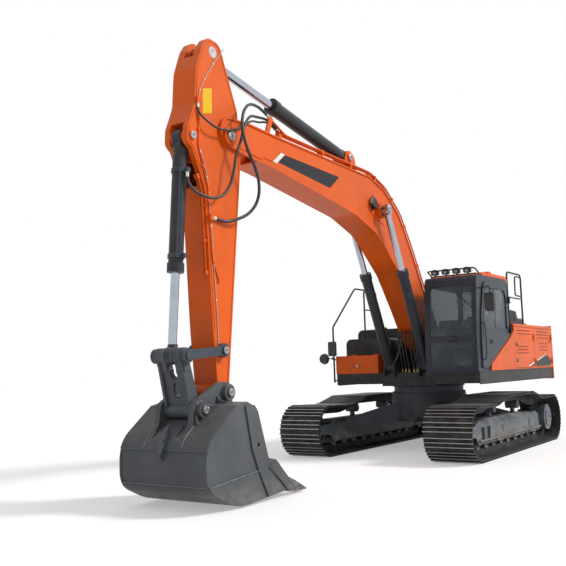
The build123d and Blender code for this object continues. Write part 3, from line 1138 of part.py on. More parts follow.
def make_boom():
    with BuildPart() as boom:
        with BuildSketch(boom_side()):
            outline(BOOM_PLATE)
        extrude(amount=BOOM_HALF - BOOM_EDGE, both=True)
        with BuildSketch(boom_side()):
            outline(BOOM_PLATE)
            outline(inset(BOOM_PLATE, 22), mode=Mode.SUBTRACT)
        extrude(amount=BOOM_HALF, both=True)
        # Hollow box between the side plates
        with BuildSketch(boom_side()):
            outline(inset(BOOM_PLATE, 22))
            with Locations((0, 0), (BOOM_LENGTH, 0)):
                Circle(260, mode=Mode.SUBTRACT)
            with Locations((BOOM_RAM_X, BOOM_RAM_Z)):
                Circle(120, mode=Mode.SUBTRACT)
        extrude(amount=BOOM_HALF - BOOM_EDGE - BOOM_WALL, both=True, mode=Mode.SUBTRACT)
        # Fork at the tip: an arc round the tip pin that runs out along the top
        with BuildSketch(boom_side()):
            with Locations((BOOM_LENGTH, 0)):
                Circle(TIP_FORK_REACH)
            with BuildLine():
                Polyline((BOOM_LENGTH - 940, 900), (BOOM_LENGTH - 860, 560), (BOOM_LENGTH - 560, 330),
                         (BOOM_LENGTH, 300), (BOOM_LENGTH, 900), close=True)
            make_face()
        extrude(amount=TIP_FORK_HALF, both=True, mode=Mode.SUBTRACT)
        for left in (-1, 1):
            # Lugs for the foot of the arm cylinder
            lug = left * (STICK_EYE_HALF + SIDE_PLAY + 20)
            slab(boom_side(lug), (
                (STICK_RAM_X - 330, 1480, 0), (STICK_RAM_X - 130, STICK_RAM_Z + 110, 120),
                (STICK_RAM_X + 120, STICK_RAM_Z + 110, 115), (STICK_RAM_X + 120, STICK_RAM_Z - 160, 100),
                (STICK_RAM_X + 330, 1290, 0), (STICK_RAM_X - 100, 1330, 0)), 20)
            disc(boom_side(left * (STICK_EYE_HALF + SIDE_PLAY + 40 + 10)), (STICK_RAM_X, STICK_RAM_Z), 70, 10)
            # Bosses of the foot pin, of the cylinders' pin and of the tip pin
            foot_boss = BRACKET_IN - SEAT
            disc(boom_side(left * (foot_boss - 12)), (0, 0), 150, 12)
            ram_boss = RAM_Y - RAM_EYE_HALF - SIDE_PLAY
            disc(boom_side(left * (ram_boss + BOOM_HALF - 30) / 2), (BOOM_RAM_X, BOOM_RAM_Z), 130,
                 (ram_boss - BOOM_HALF + 30) / 2)
            disc(boom_side(left * (BOOM_HALF + 8)), (BOOM_LENGTH, 0), 120, 20)
            disc(boom_side(left * (BOOM_HALF + 28)), (BOOM_LENGTH, 0), PIN_HEAD, 10)
            # Doubling plates on the side plates, round the cylinders' pin and along the tip
            face = BOOM_HALF - BOOM_EDGE + BOOM_DOUBLER / 2
            slab(boom_side(left * face), (
                (BOOM_RAM_X - 330, 1080, 120), (BOOM_RAM_X - 200, 1450, 120), (BOOM_RAM_X + 260, 1440, 120),
                (BOOM_RAM_X + 330, 1060, 120)), BOOM_DOUBLER / 2)
            slab(boom_side(left * face), (
                (5560, 250, 60), (5560, 480, 60), (6180, 330, 60), (6480, 150, 100), (6480, -120, 100),
                (6100, 60, 60)), BOOM_DOUBLER / 2)
    boom.part.label = "boom"
    export_step(boom.part, "parts/boom.step")

    with BuildPart() as pipes:
        for y, end in BOOM_PIPES:
            kept = [corner for corner in BOOM_PIPE_RUN[:-1] if corner[0] < end]
            last = along_run(BOOM_PIPE_RUN, end)[1] if end < BOOM_PIPE_RUN[-1][0] else PIPE_LEVEL
            with BuildLine() as run:
                FilletPolyline(*[on(boom_side(), x, y, z) for x, z, r in (*kept, (end, last, 0))],
                               radius=[r for x, z, r in kept[1:]])
            path = run.wire()
            with BuildSketch(Plane(origin=path @ 0, z_dir=path % 0)) as ring:
                Circle(BOOM_PIPE)
            sweep(ring.sketch, path=path)
        # Clamps that hold the pipes down on the top plate
        rise = PIPE_RISE - SEAT
        for middle, half, places in PIPE_BUNDLES:
            for place in places:
                x, z, turn = along_run(BOOM_PIPE_RUN, place)
                slab(side(placed(BOOM_FOOT, x, z, BOOM_RAISE), middle, BOOM_RAISE + turn), (
                    (-18, -rise, 0), (-18, 24, 6), (18, 24, 6), (18, -rise, 0)), half)
        # Nozzle blocks where the hoses leave the pipes; the outer one stands on the side of the fork
        nozzle = PIPE_LEVEL + 26
        slab(boom_side(156), (
            (NOZZLE_X - 70, 692, 0), (NOZZLE_X - 70, nozzle, 10), (NOZZLE_X, nozzle, 10),
            (NOZZLE_X, 664.6, 0)), 36)
        slab(boom_side(209), (
            (OUTER_NOZZLE_X - 80, 578, 0), (OUTER_NOZZLE_X - 80, nozzle, 10), (OUTER_NOZZLE_X, nozzle, 10),
            (OUTER_NOZZLE_X, 549, 0)), 13)
        x, z, turn = along_run(BOOM_PIPE_RUN, RAM_PIPE_X)
        slab(side(placed(BOOM_FOOT, x, z, BOOM_RAISE), -175, BOOM_RAISE + turn), (
            (-50, -rise, 0), (-50, 28, 8), (0, 28, 8), (0, -rise, 0)), 34)
    pipes.part.label = "boom_pipes"
    export_step(pipes.part, "parts/boom_pipes.step")

    with BuildPart() as lamp:
        face = BOOM_HALF - BOOM_EDGE + BOOM_DOUBLER + SEAT
        slab(boom_side(face + 38), ((2800, 1140, 20), (2800, 1280, 20), (2930, 1300, 20),
            (2950, 1150, 20)), 26)
        slab(boom_side(face + 8), ((2810, 1120, 0), (2810, 1270, 0), (2890, 1270, 0), (2890, 1120, 0)), 8)
    lamp.part.label = "boom_lamp"
    export_step(lamp.part, "parts/boom_lamp.step")


def along_run(run, place):
    """Point at x = place of a route given by corners, and the angle of its leg there."""
    for (x0, z0, r0), (x1, z1, r1) in zip(run, run[1:]):
        if x0 <= place <= x1:
            return place, z0 + (z1 - z0) * (place - x0) / (x1 - x0), degrees(atan2(z1 - z0, x1 - x0))


def make_ram(name, foot, eye, y, barrel, rod, eye_radius, eye_half, length, closing):
    """Hydraulic cylinder from its foot pin to its rod's eye."""
    turn, span = heading(foot, eye)
    ahead = (cos(radians(turn)), 0, sin(radians(turn)))
    along = Plane(origin=(SLEW_X + foot[0], y, foot[1]), x_dir=(0, 1, 0), z_dir=ahead)
    with BuildPart() as tube:
        with BuildSketch(along.offset(eye_radius + 30)):
            Circle(barrel)
            Circle(rod + ROD_PLAY, mode=Mode.SUBTRACT)
        extrude(amount=length - eye_radius - 30)
        with BuildSketch(along.offset(length - 110)):
            Circle(barrel + 14)
            Circle(rod + ROD_PLAY, mode=Mode.SUBTRACT)
        extrude(amount=110)
        with BuildSketch(along.offset(eye_radius - 25)):
            Rectangle(eye_half * 2, barrel * 1.7)
        extrude(amount=60)
        disc(side(foot, y), (0, 0), eye_radius, eye_half)
        disc(side(foot, y), (0, 0), eye_radius - 20, eye_half + SIDE_PLAY - SEAT)
    tube.part.label = f"{name}_barrel"
    export_step(tube.part, f"parts/{name}_barrel.step")

    # The rod reaches back far enough to stay in its barrel at full stroke
    start = eye_radius + 45 + closing
    with BuildPart() as stem:
        with BuildSketch(along.offset(start)):
            Circle(rod)
        extrude(amount=span - start - eye_radius + 30)
        disc(side(eye, y), (0, 0), eye_radius, eye_half)
        disc(side(eye, y), (0, 0), eye_radius - 20, eye_half + SIDE_PLAY - SEAT)
    stem.part.label = f"{name}_rod"
    export_step(stem.part, f"parts/{name}_rod.step")


def make_rams():
    for name, y in (("boom_cylinder_left", RAM_Y), ("boom_cylinder_right", -RAM_Y)):
        make_ram(name, RAM_FOOT, RAM_EYE_PIN, y, RAM_BARREL, RAM_ROD, RAM_EYE, RAM_EYE_HALF, RAM_LENGTH,
            RAM_CLOSING)
    make_ram("arm_cylinder", STICK_FOOT, STICK_EYE_PIN, 0, STICK_BARREL, STICK_ROD, STICK_EYE, STICK_EYE_HALF,
             STICK_LENGTH, STICK_CLOSING)
    make_ram("bucket_cylinder", CURL_FOOT, CURL_PIN, 0, CURL_BARREL, CURL_ROD, CURL_EYE, CURL_EYE_HALF,
             CURL_LENGTH, CURL_CLOSING)


# Corners of the arm's side plates, with the columns x, z and radius; the front edge starts at the bucket
ARM_PLATE = (
    (-1163, 195, 140), (-390, -205, 300), (300, -297, 600), (3100, -166, 60), (3190, -100, 0), (3190, 36, 0),
    (2440, 166, 800), (760, 392, 300), (330, 640, 60), (270, CURL_FOOT_Z + 86, 84),
    (80, CURL_FOOT_Z + 86, 84),
    (-120, 668, 200), (-250, 630, 100), (-680, 628, 400), (-1010, 530, 200), (-1163, 440, 120))
# Pipes before the arm stand this far from its front edge; place from the middle
ARM_PIPE_RISE = 34
ARM_PIPE = 11               # radius
ARM_PIPES = (120, 150)
ARM_FRONT_RUN = tuple(reversed(inset(ARM_PLATE, -ARM_PIPE_RISE)[6:9]))
ARM_PIPE_START = 640
ARM_PIPE_END = 1780
ARM_PIPE_CLAMPS = (980, 1400)
# Grease and drain line down the arm's left face, with the columns x, z and radius
ARM_SIDE_RUN = ((-250, 556, 0), (290, 545, 200), (740, 345, 200), (1120, 300, 150), (1620, 215, 200),
    (1880, 75, 0))
ARM_SIDE_CLAMPS = (60, 500, 900, 1500, 1860)
ARM_SIDE_PIPE = 8
HOSE_END_X = 1110           # fitting of the long hose on the arm's left face
HOSE_END_Z = 270


def make_cylinder_fittings():
    """Band, port block and line on the bucket cylinder's barrel, where the lower hose ends."""
    turn, span = heading(CURL_FOOT, CURL_PIN)
    t = radians(turn)
    along = Plane(origin=(SLEW_X + CURL_FOOT[0], 0, CURL_FOOT[1]), x_dir=(0, 1, 0), z_dir=(cos(t), 0, sin(t)))
    with BuildPart() as fittings:
        for place in (CURL_PORT, CURL_LENGTH - 190):
            with BuildSketch(along.offset(place - 25)):
                Circle(CURL_BARREL + 12)
                Circle(CURL_BARREL + SEAT, mode=Mode.SUBTRACT)
            extrude(amount=50)
            slab(side(CURL_FOOT, CURL_BARREL + 34, turn), (
                (place - 25, -26, 0), (place - 25, 26, 0), (place + 25, 26, 0), (place + 25, -26, 0)), 30)
        with BuildSketch(along.offset(CURL_PORT - 25)):
            with Locations((75, 75)):
                Circle(9)
        extrude(amount=CURL_LENGTH - 165 - CURL_PORT + 25)
    fittings.part.label = "bucket_cylinder_fittings"
    export_step(fittings.part, "parts/bucket_cylinder_fittings.step")


def make_arm():
    plate = ARM_PLATE
    with BuildPart() as arm:
        with BuildSketch(arm_side()):
            outline(plate)
        extrude(amount=ARM_HALF, both=True)
        with BuildSketch(arm_side()):
            outline(inset(plate, 18))
            with Locations((0, 0)):
                Circle(190, mode=Mode.SUBTRACT)
            with Locations((STICK_EYE_X, STICK_EYE_Z)):
                Circle(330, mode=Mode.SUBTRACT)
            with Locations((CURL_FOOT_X, CURL_FOOT_Z)):
                Circle(330, mode=Mode.SUBTRACT)
            with Locations((LINK_PIN_X, LINK_PIN_Z)):
                Circle(90, mode=Mode.SUBTRACT)
        extrude(amount=ARM_HALF - ARM_WALL, both=True, mode=Mode.SUBTRACT)
        # Fork for the arm cylinder's eye, open to the rear and the top
        with BuildSketch(arm_side()):
            with BuildLine():
                Polyline((-1300, -200), (-760, -60), (-790, 470), (-1040, 700), (-1400, 700), close=True)
            make_face()
        extrude(amount=STICK_EYE_HALF + SIDE_PLAY, both=True, mode=Mode.SUBTRACT)
        # Fork for the bucket cylinder's foot, open ahead and downwards
        with BuildSketch(arm_side()):
            with BuildLine():
                Polyline((20, 900), (20, 530), (720, 395), (900, 420), (900, 900), close=True)
            make_face()
        extrude(amount=CURL_BARREL + SWING_GAP, both=True, mode=Mode.SUBTRACT)
        disc(arm_side(), (ARM_LENGTH, 0), 112, EAR_IN - SIDE_PLAY)
        disc(arm_side(), (ARM_LENGTH, 0), 85, EAR_IN - SEAT)
        for left in (-1, 1):
            curl_boss = CURL_EYE_HALF + SIDE_PLAY
            disc(arm_side(left * (curl_boss + ARM_HALF) / 2), (CURL_FOOT_X, CURL_FOOT_Z), 82,
                 (ARM_HALF - curl_boss) / 2)
            disc(arm_side(left * (ARM_HALF + 8)), (CURL_FOOT_X, CURL_FOOT_Z), 60, 8)
        disc(arm_side(), (0, 0), 150, TIP_FORK_HALF - SEAT)
        disc(arm_side(), (LINK_PIN_X, LINK_PIN_Z), 75, ARM_HALF + 20 + SIDE_PLAY - SEAT)
    arm.part.label = "arm"
    export_step(arm.part, "parts/arm.step")

    with BuildPart() as pipes:
        for y in ARM_PIPES:
            first = along_run(ARM_FRONT_RUN, ARM_PIPE_START)
            last = along_run(ARM_FRONT_RUN, ARM_PIPE_END)
            knee = ARM_FRONT_RUN[1]
            with BuildLine() as run:
                FilletPolyline(on(arm_side(), first[0], y, first[1]), on(arm_side(), knee[0], y, knee[1]),
                               on(arm_side(), last[0], y, last[1]), radius=[knee[2]])
            path = run.wire()
            with BuildSketch(Plane(origin=path @ 0, z_dir=path % 0)) as ring:
                Circle(ARM_PIPE)
            sweep(ring.sketch, path=path)
        # Blocks at both ends of the pipes and clamps between them, standing on the front edge
        middle = sum(ARM_PIPES) / len(ARM_PIPES)
        for place, length in ((ARM_PIPE_START, 60), (ARM_PIPE_END, 60),
                *[(place, 32) for place in ARM_PIPE_CLAMPS]):
            x, z, turn = along_run(ARM_FRONT_RUN, place)
            slab(side(placed(BOOM_TIP, x, z, ARM_TURN), middle, ARM_TURN + turn), (
                (-length / 2, -ARM_PIPE_RISE + SEAT, 0), (-length / 2, 20, 5), (length / 2, 20, 5),
                (length / 2, -ARM_PIPE_RISE + SEAT, 0)), 30)
        # Line on the left face with its clamps, and the long hose's fitting
        face = ARM_HALF + SEAT
        line_y = face + 2 + ARM_SIDE_PIPE
        with BuildLine() as run:
            FilletPolyline(*[on(arm_side(), x, line_y, z) for x, z, r in ARM_SIDE_RUN],
                           radius=[r for x, z, r in ARM_SIDE_RUN[1:-1]])
        path = run.wire()
        with BuildSketch(Plane(origin=path @ 0, z_dir=path % 0)) as ring:
            Circle(ARM_SIDE_PIPE)
        sweep(ring.sketch, path=path)
        for place in ARM_SIDE_CLAMPS:
            x, z, turn = along_run(ARM_SIDE_RUN, place)
            slab(side(placed(BOOM_TIP, x, z, ARM_TURN), face + 9.5, ARM_TURN + turn), (
                (-16, -22, 6), (-16, 22, 6), (16, 22, 6), (16, -22, 6)), 9.5)
        # Fittings of the long hose and of the short one near the arm's head
        slab(arm_side(face + 27), (
            (HOSE_END_X - 40, HOSE_END_Z, 0), (HOSE_END_X - 40, HOSE_END_Z + 62, 15),
            (HOSE_END_X + 40, HOSE_END_Z + 62, 15), (HOSE_END_X + 40, HOSE_END_Z, 0)), 27)
        slab(arm_side(face + 16), ((-330, 545, 8), (-330, 612, 8), (-250, 612, 0), (-250, 545, 0)), 16)
    pipes.part.label = "arm_pipes"
    export_step(pipes.part, "parts/arm_pipes.step")


# Hoses over the elbow: name, diameter and route. Their ends stand SEAT from a nozzle or a fitting.
def elbow_hoses():
    """Routes of the hoses from the boom's pipes to the arm, each chosen to hang as it does."""
    tip, arm = boom_side(), arm_side()
    left = ARM_HALF + SEAT
    return (
        ("elbow_hose_long", 40, (
            on(tip, OUTER_NOZZLE_X + SEAT, LONG_PIPE_Y, PIPE_LEVEL), on(tip, 6020, LONG_PIPE_Y, PIPE_LEVEL),
            at(5720, 250, 5005), at(5950, 310, 4935), at(6130, 360, 4760), at(6190, 388, 4520),
            at(6090, 396, 4280), at(5920, 394, 4080), at(5830, 385, 3860), at(5860, 362, 3650),
            at(6000, 325, 3485), at(6190, 270, 3395), on(arm, HOSE_END_X, 222, 5),
            on(arm, HOSE_END_X, left + 27, 135), on(arm, HOSE_END_X, left + 27, HOSE_END_Z - SEAT))),
        ("elbow_hose_lower", 36, (
            on(tip, NOZZLE_X + SEAT, LOWER_PIPE_Y, PIPE_LEVEL), on(tip, 5700, LOWER_PIPE_Y, PIPE_LEVEL),
            on(tip, 5870, 171, 757), at(5590, 192, 4880), at(5770, 240, 4845), at(5940, 297, 4752),
            at(6075, 334, 4592), at(6160, 344, 4390), on(arm, 270, 334, 0), on(arm, 480, 324, 15),
            on(arm, 680, 310, 70), on(arm, 830, 295, 180), on(arm, 892, 268, 320), on(arm, 892, 232, 420),
            on(arm, 862, 186, 530), on(arm, 797, 145, 614), on(arm, 716, 125, 656.5),
            on(arm, 623.6, 125, 655.7))),
        ("elbow_hose_short", 28, (
            on(tip, NOZZLE_X + SEAT, SHORT_PIPE_Y, PIPE_LEVEL), on(tip, 5680, SHORT_PIPE_Y, PIPE_LEVEL),
            on(tip, 5830, 140, 745), at(5500, 156, 4834), at(5680, 204, 4802), at(5850, 254, 4738),
            at(6010, 284, 4640), at(6160, 290, 4556), at(6320, 290, 4500), at(6480, 288, 4480),
            at(6600, 284, 4482), on(arm, -20, 275, 445), on(arm, -55, 252, 500), on(arm, -98, 222, 560),
            on(arm, -165, 197.5, 585.5), on(arm, -250 + SEAT, left + 16, 586))),
    )


def make_elbow_hoses():
    for name, diameter, points in elbow_hoses():
        route = [Vector(*point) for point in points]
        bends = []
        for before, here, after in zip(route, route[1:], route[2:]):
            shorter = min((here - before).length, (after - here).length)
            turn = radians((here - before).get_angle(after - here))
            bends.append(0.45 * shorter / tan(turn / 2))
        with BuildPart() as hose:
            with BuildLine() as run:
                FilletPolyline(*route, radius=bends)
            path = run.wire()
            with BuildSketch(Plane(origin=path @ 0, z_dir=path % 0)) as ring:
                Circle(diameter / 2)
            sweep(ring.sketch, path=path)
        print(name, "length", round(path.length), "radii", [round(bend) for bend in bends],
              "volume over section times length",
              round(hose.part.volume / (ring.sketch.area * path.length), 4))
        hose.part.label = name
        export_step(hose.part, f"parts/{name}.step")


def make_linkage():
    turn, span = heading(ARM_LINK_PIN, CURL_PIN)
    with BuildPart() as links:
        for left in (-1, 1):
            middle = left * (ARM_HALF + 20 + SIDE_PLAY + 25)
            with BuildSketch(side(ARM_LINK_PIN, middle, turn)):
                with Locations((0, 0), (span, 0)):
                    Circle(86)
                with Locations((span / 2, 0)):
                    Rectangle(span, 112)
            extrude(amount=25, both=True)
            # Pin ends outside the bars, and the thrust washer inside them
            for pin in (ARM_LINK_PIN, CURL_PIN):
                disc(side(pin, left * (ARM_HALF + 20 + SIDE_PLAY + 50 + 8)), (0, 0), 56, 9)
            washer = left * (ARM_HALF + 20 + SEAT + 10)
            disc(side(CURL_PIN, washer), (0, 0), 70, 10)
    links.part.label = "side_links"
    export_step(links.part, "parts/side_links.step")

    # Cast link: two eyes above, one below, a web between two ribs with a round hole and a slot
    turn, span = heading(BUCKET_LINK_PIN, CURL_PIN)
    half = ARM_HALF + 20
    inner = CURL_EYE_HALF + SIDE_PLAY
    web_end = span - CURL_EYE - LINK_RECESS
    t = radians(turn)
    flat = Plane(origin=(SLEW_X + BUCKET_LINK_PIN[0], 0, BUCKET_LINK_PIN[1]), x_dir=(cos(t), 0, sin(t)),
                 z_dir=(-sin(t), 0, cos(t)))
    with BuildPart() as link:
        disc(side(BUCKET_LINK_PIN), (0, 0), 92, EAR_IN - SIDE_PLAY)
        disc(side(BUCKET_LINK_PIN), (0, 0), 70, EAR_IN - SEAT)
        slab(flat, ((40, -half + 10, 0), (40, half - 10, 0), (web_end, half - 10, 0),
            (web_end, -half + 10, 0)), 42)
        slab(flat, ((150, -36, 35), (150, 36, 35), (330, 36, 35), (330, -36, 35)), 60, mode=Mode.SUBTRACT)
        disc(flat, (430, 0), 58, 60, mode=Mode.SUBTRACT)
        for left in (-1, 1):
            slab(side(BUCKET_LINK_PIN, left * (half - 29), turn), (
                (0, -88, 0), (0, 88, 0), (span - 120, 66, 60), (span, 80, 0), (span, -80, 0),
                (span - 120, -66, 60)), 19)
            with BuildSketch(side(BUCKET_LINK_PIN, left * (inner + half) / 2, turn)):
                with Locations((span, 0)):
                    Circle(92)
                with Locations((span - 90, 0)):
                    Rectangle(180, 110)
            extrude(amount=(half - inner) / 2, both=True)
    link.part.label = "bucket_link"
    export_step(link.part, "parts/bucket_link.step")


# Side outline of a tooth and its adapter, with the columns x, z and radius
TOOTH = (
    (-640, -1212 - SEAT, 0), (-775, -1195 - SEAT, 0), (-800, -1150 + SEAT, 0), (-700, -1048, 0),
    (-840, -1105, 20), (-1100, -1235, 10), (-1095, -1250, 10), (-830, -1250, 20))


# Side outline of the bucket, with the columns x, z and radius, x and z from its hinge pin
BUCKET_SHELL = (
    (-48, -165, 20), (106, -102, 50), (290, -140, 150), (BUCKET_BACK, -545, 380), (BUCKET_BACK, -1026, 250),
    (328, -BUCKET_DEPTH, 900), (-775, -1195, 0), (-795, -1150, 0), (-450, -815, 40), (-258, -775, 60))
BUCKET_BAND = -600          # lower edge of the band across the top of the back
BUCKET_WRAP = -1000         # upper edge of the wear plates round the bottom
BAND_RISE = 14              # the band stands this far out
WEAR_PLATE = 10             # thickness of a wear plate on a side
SIDE_CUTTER = 20            # thickness of a side cutter
# Plates on the bucket's sides, with the columns x, z and radius
CUTTER_PLATE = (
    (150, -150, 0), (-20, -150, 0), (-85, -225, 40), (-275, -790, 60), (-455, -838, 40), (-700, -1085, 0),
    (-640, -1190, 0), (-260, -1222, 0), (-75, -900, 30), (40, -640, 60))
ADAPTER_PLATE = ((-255, -868, 10), (-420, -836, 10), (-785, -1165, 0), (-640, -1190, 10))
CUTTER_HOLE = (-78, -608)


def make_bucket():
    with BuildPart() as bucket:
        slab(bucket_side(), BUCKET_SHELL, BUCKET_HALF)
        # Band across the top of the back
        with BuildSketch(bucket_side()):
            outline(inset(BUCKET_SHELL, -BAND_RISE))
            outline(((310, 200, 0), (1000, 200, 0), (1000, BUCKET_BAND, 0), (310, BUCKET_BAND, 0)),
                    mode=Mode.INTERSECT)
        extrude(amount=BUCKET_HALF - 4, both=True)
        for left in (-1, 1):
            slab(bucket_side(left * (EAR_IN + EAR_THICKNESS / 2)), (
                (-118, -175, 0), (-118, 125, 118), (120, 125, 150), (600, -95, 115), (640, -330, 0),
                (760, -520, 0), (300, -420, 0), (0, -300, 0)), EAR_THICKNESS / 2)
            # Side plates: wear plate round the lower back, cutter along the mouth, block at the lip's corner
            with BuildSketch(bucket_side(left * (BUCKET_HALF + WEAR_PLATE / 2))):
                outline(inset(BUCKET_SHELL, 4))
                outline(((900, BUCKET_WRAP + 12, 0), (-60, BUCKET_WRAP + 98, 0), (-300, -1400, 0),
                         (900, -1400, 0)), mode=Mode.INTERSECT)
            extrude(amount=WEAR_PLATE / 2, both=True)
            slab(bucket_side(left * (BUCKET_HALF + SIDE_CUTTER / 2)), CUTTER_PLATE, SIDE_CUTTER / 2)
            slab(bucket_side(left * (BUCKET_HALF + SIDE_CUTTER)), ADAPTER_PLATE, SIDE_CUTTER)
            disc(bucket_side(left * BUCKET_HALF), CUTTER_HOLE, 24, 60, mode=Mode.SUBTRACT)
            # Gussets outside the ears, hollowed like a crescent
            for x, foot, head in ((175, -135, -40), (575, -380, -215)):
                ear = EAR_IN + EAR_THICKNESS - 5
                slab(cross(BUCKET_PIN[0] + x, 0, BUCKET_PIN[1]), (
                    (left * ear, foot, 0), (left * ear, head, 0), (left * (ear + 25), head, 0),
                    (left * (ear + 45), foot + 50, 60), (left * (ear + 165), foot + 25, 0),
                    (left * (ear + 165), foot, 0)), 11)
        # The inside, open at the mouth
        with BuildSketch(bucket_side()):
            outline(inset(BUCKET_SHELL, BUCKET_SKIN))
            with BuildLine():
                Polyline((0, -190), (-200, -190), (-1000, -1148), (-760, -1170), (0, -1000), close=True)
            make_face()
        extrude(amount=BUCKET_HALF - BUCKET_SIDE, both=True, mode=Mode.SUBTRACT)
        # The back's skin lies in from its side plates between the band and the wear plates
        with BuildSketch(bucket_side()):
            outline(inset(BUCKET_SHELL, -BAND_RISE))
            outline(inset(BUCKET_SHELL, 8), mode=Mode.SUBTRACT)
            outline(((500, BUCKET_BAND, 0), (1000, BUCKET_BAND, 0), (1000, BUCKET_WRAP, 0),
                     (500, BUCKET_WRAP, 0)), mode=Mode.INTERSECT)
        extrude(amount=BUCKET_HALF - BUCKET_SIDE, both=True, mode=Mode.SUBTRACT)
        # Trough under the link's eye between the ears
        link_x, link_z = turned(BUCKET_PINS, 0, BUCKET_PIN_TURN)
        disc(bucket_side(), (link_x, link_z), 135, EAR_IN + 10)
        disc(bucket_side(), (link_x, link_z), 115, EAR_IN, mode=Mode.SUBTRACT)
        slab(bucket_side(), ((-300, 400, 0), (-300, -140, 0), (106, -102, 0), (290, -140, 0),
                             (BUCKET_BACK, -545, 0), (900, 400, 0)), EAR_IN, mode=Mode.SUBTRACT)
        # Bosses of the hinge pin and the link's pin, with the pins' ends
        for left in (-1, 1):
            for x, z in ((0, 0), (link_x, link_z)):
                boss = left * (EAR_IN + EAR_THICKNESS + EAR_BOSS) / 2
                disc(bucket_side(boss), (x, z), 96, (EAR_BOSS - EAR_IN - EAR_THICKNESS) / 2 + 1)
                disc(bucket_side(left * (EAR_BOSS + 8)), (x, z), 58, 9)
        # Lifting eye on the back, on a pad between the ears
        with BuildSketch(bucket_side()):
            outline(inset(BUCKET_SHELL, -BAND_RISE))
            outline(inset(BUCKET_SHELL, 6), mode=Mode.SUBTRACT)
            outline(((600, -420, 0), (600, -200, 0), (1000, -200, 0), (1000, BUCKET_BAND, 0),
                     (700, BUCKET_BAND, 0)), mode=Mode.INTERSECT)
        extrude(amount=130, both=True)
        slab(bucket_side(), ((690, -330, 0), (770, -380, 40), (BUCKET_BACK + 70, -560, 40),
                             (BUCKET_BACK + 50, -650, 30), (BUCKET_BACK - 10, -740, 0),
                             (BUCKET_BACK - 30, -600, 0)),
             EYE_THICKNESS / 2)
        disc(bucket_side(), (BUCKET_BACK - EYE_BACK, EYE_Z), EYE_HOLE, EYE_THICKNESS, mode=Mode.SUBTRACT)
    bucket.part.label = "bucket"
    export_step(bucket.part, "parts/bucket.step")

    # Teeth with their adapters on the lip
    pitch = 2 * (BUCKET_HALF - TOOTH_HALF) / (TOOTH_COUNT - 1)
    with BuildPart() as teeth:
        for tooth in range(TOOTH_COUNT):
            middle = -BUCKET_HALF + TOOTH_HALF + tooth * pitch
            slab(bucket_side(middle), TOOTH, TOOTH_HALF)
    teeth.part.label = "bucket_teeth"
    export_step(teeth.part, "parts/bucket_teeth.step")


make_tracks()
make_track_wheels()
make_track_frames()
make_carbody()
make_main_frame()
make_counterweight()
make_housing()
make_service_doors()
make_engine_bay()
make_tanks()
make_cab()
make_roof_fittings()
make_rails()
make_top_fittings()
make_boom()
make_rams()
make_cylinder_fittings()
make_arm()
make_elbow_hoses()
make_linkage()
make_bucket()
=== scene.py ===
"""A crawler excavator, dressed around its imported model."""
import json
import math

import bmesh
import bpy
import numpy as np
from mathutils import Matrix, Vector


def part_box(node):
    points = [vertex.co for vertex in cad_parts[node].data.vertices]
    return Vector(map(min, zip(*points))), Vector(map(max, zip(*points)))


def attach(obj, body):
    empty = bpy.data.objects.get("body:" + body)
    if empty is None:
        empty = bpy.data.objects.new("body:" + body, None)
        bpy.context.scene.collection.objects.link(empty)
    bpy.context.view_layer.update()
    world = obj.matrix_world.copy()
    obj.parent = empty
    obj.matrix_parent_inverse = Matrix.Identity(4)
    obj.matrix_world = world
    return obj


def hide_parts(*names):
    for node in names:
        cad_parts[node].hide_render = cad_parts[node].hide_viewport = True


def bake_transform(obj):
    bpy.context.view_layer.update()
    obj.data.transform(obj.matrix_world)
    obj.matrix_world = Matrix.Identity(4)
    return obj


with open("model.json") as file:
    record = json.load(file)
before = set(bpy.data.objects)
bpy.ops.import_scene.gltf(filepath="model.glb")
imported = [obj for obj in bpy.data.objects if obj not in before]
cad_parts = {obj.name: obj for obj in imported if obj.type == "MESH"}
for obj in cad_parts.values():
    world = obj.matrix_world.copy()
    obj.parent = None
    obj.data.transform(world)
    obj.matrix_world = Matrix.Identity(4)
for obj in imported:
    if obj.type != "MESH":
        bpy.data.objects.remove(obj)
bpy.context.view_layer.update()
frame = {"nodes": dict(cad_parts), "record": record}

# Frames of the machine: every x is counted from the slewing axis
SLEW_X = -1.942060
ACROSS = np.array([0.0, 1.0, 0.0])


def lean(foot, turn):
    """Frame of a leaning piece: its foot (x, z), the direction along it and the one square to it."""
    a = math.radians(turn)
    return (np.array([SLEW_X + foot[0], 0.0, foot[1]]), np.array([math.cos(a), 0.0, math.sin(a)]),
            np.array([-math.sin(a), 0.0, math.cos(a)]))


def on(frame_of, x, y, z):
    """Point (x, y, z) of a leaning frame: foot + x along + y across + z square to it."""
    x, y, z = np.broadcast_arrays(*[np.asarray(v, float) for v in (x, y, z)])
    foot, along, up = frame_of
    return foot + x[..., None] * along + y[..., None] * ACROSS + z[..., None] * up


def reach(frame_of, x, z):
    """The (x, z) of a frame's point, from the slewing axis, as another frame's foot."""
    point = on(frame_of, x, 0.0, z)
    return point[0] - SLEW_X, point[2]


MACHINE = lean((0.0, 0.0), 0.0)
BOOM = lean((0.219, 1.991), 22.3)
ARM = lean(reach(BOOM, 6.505, 0.0), -85.8)
BUCKET = lean(reach(ARM, 3.190, 0.0), 0.0)

# Camera
CAMERA_AT = (13.855 + SLEW_X, 6.107, 1.538)
CAMERA_TURN = math.radians(213.99)
CAMERA_PITCH = math.radians(6.217)
CAMERA_ROLL = math.radians(-1.711)
CAMERA_FOCAL = 784.28       # in pixels of a frame 566 wide
FRAME_WIDTH = 566
SENSOR_WIDTH = 36.0


def stand(thing, right, up, back, at):
    """Places a camera or a lamp by its three axes."""
    basis = np.identity(4)
    basis[:3] = np.stack([right, up, back, at], axis=1)
    thing.matrix_world = Matrix(basis.tolist())
    bpy.context.scene.collection.objects.link(thing)


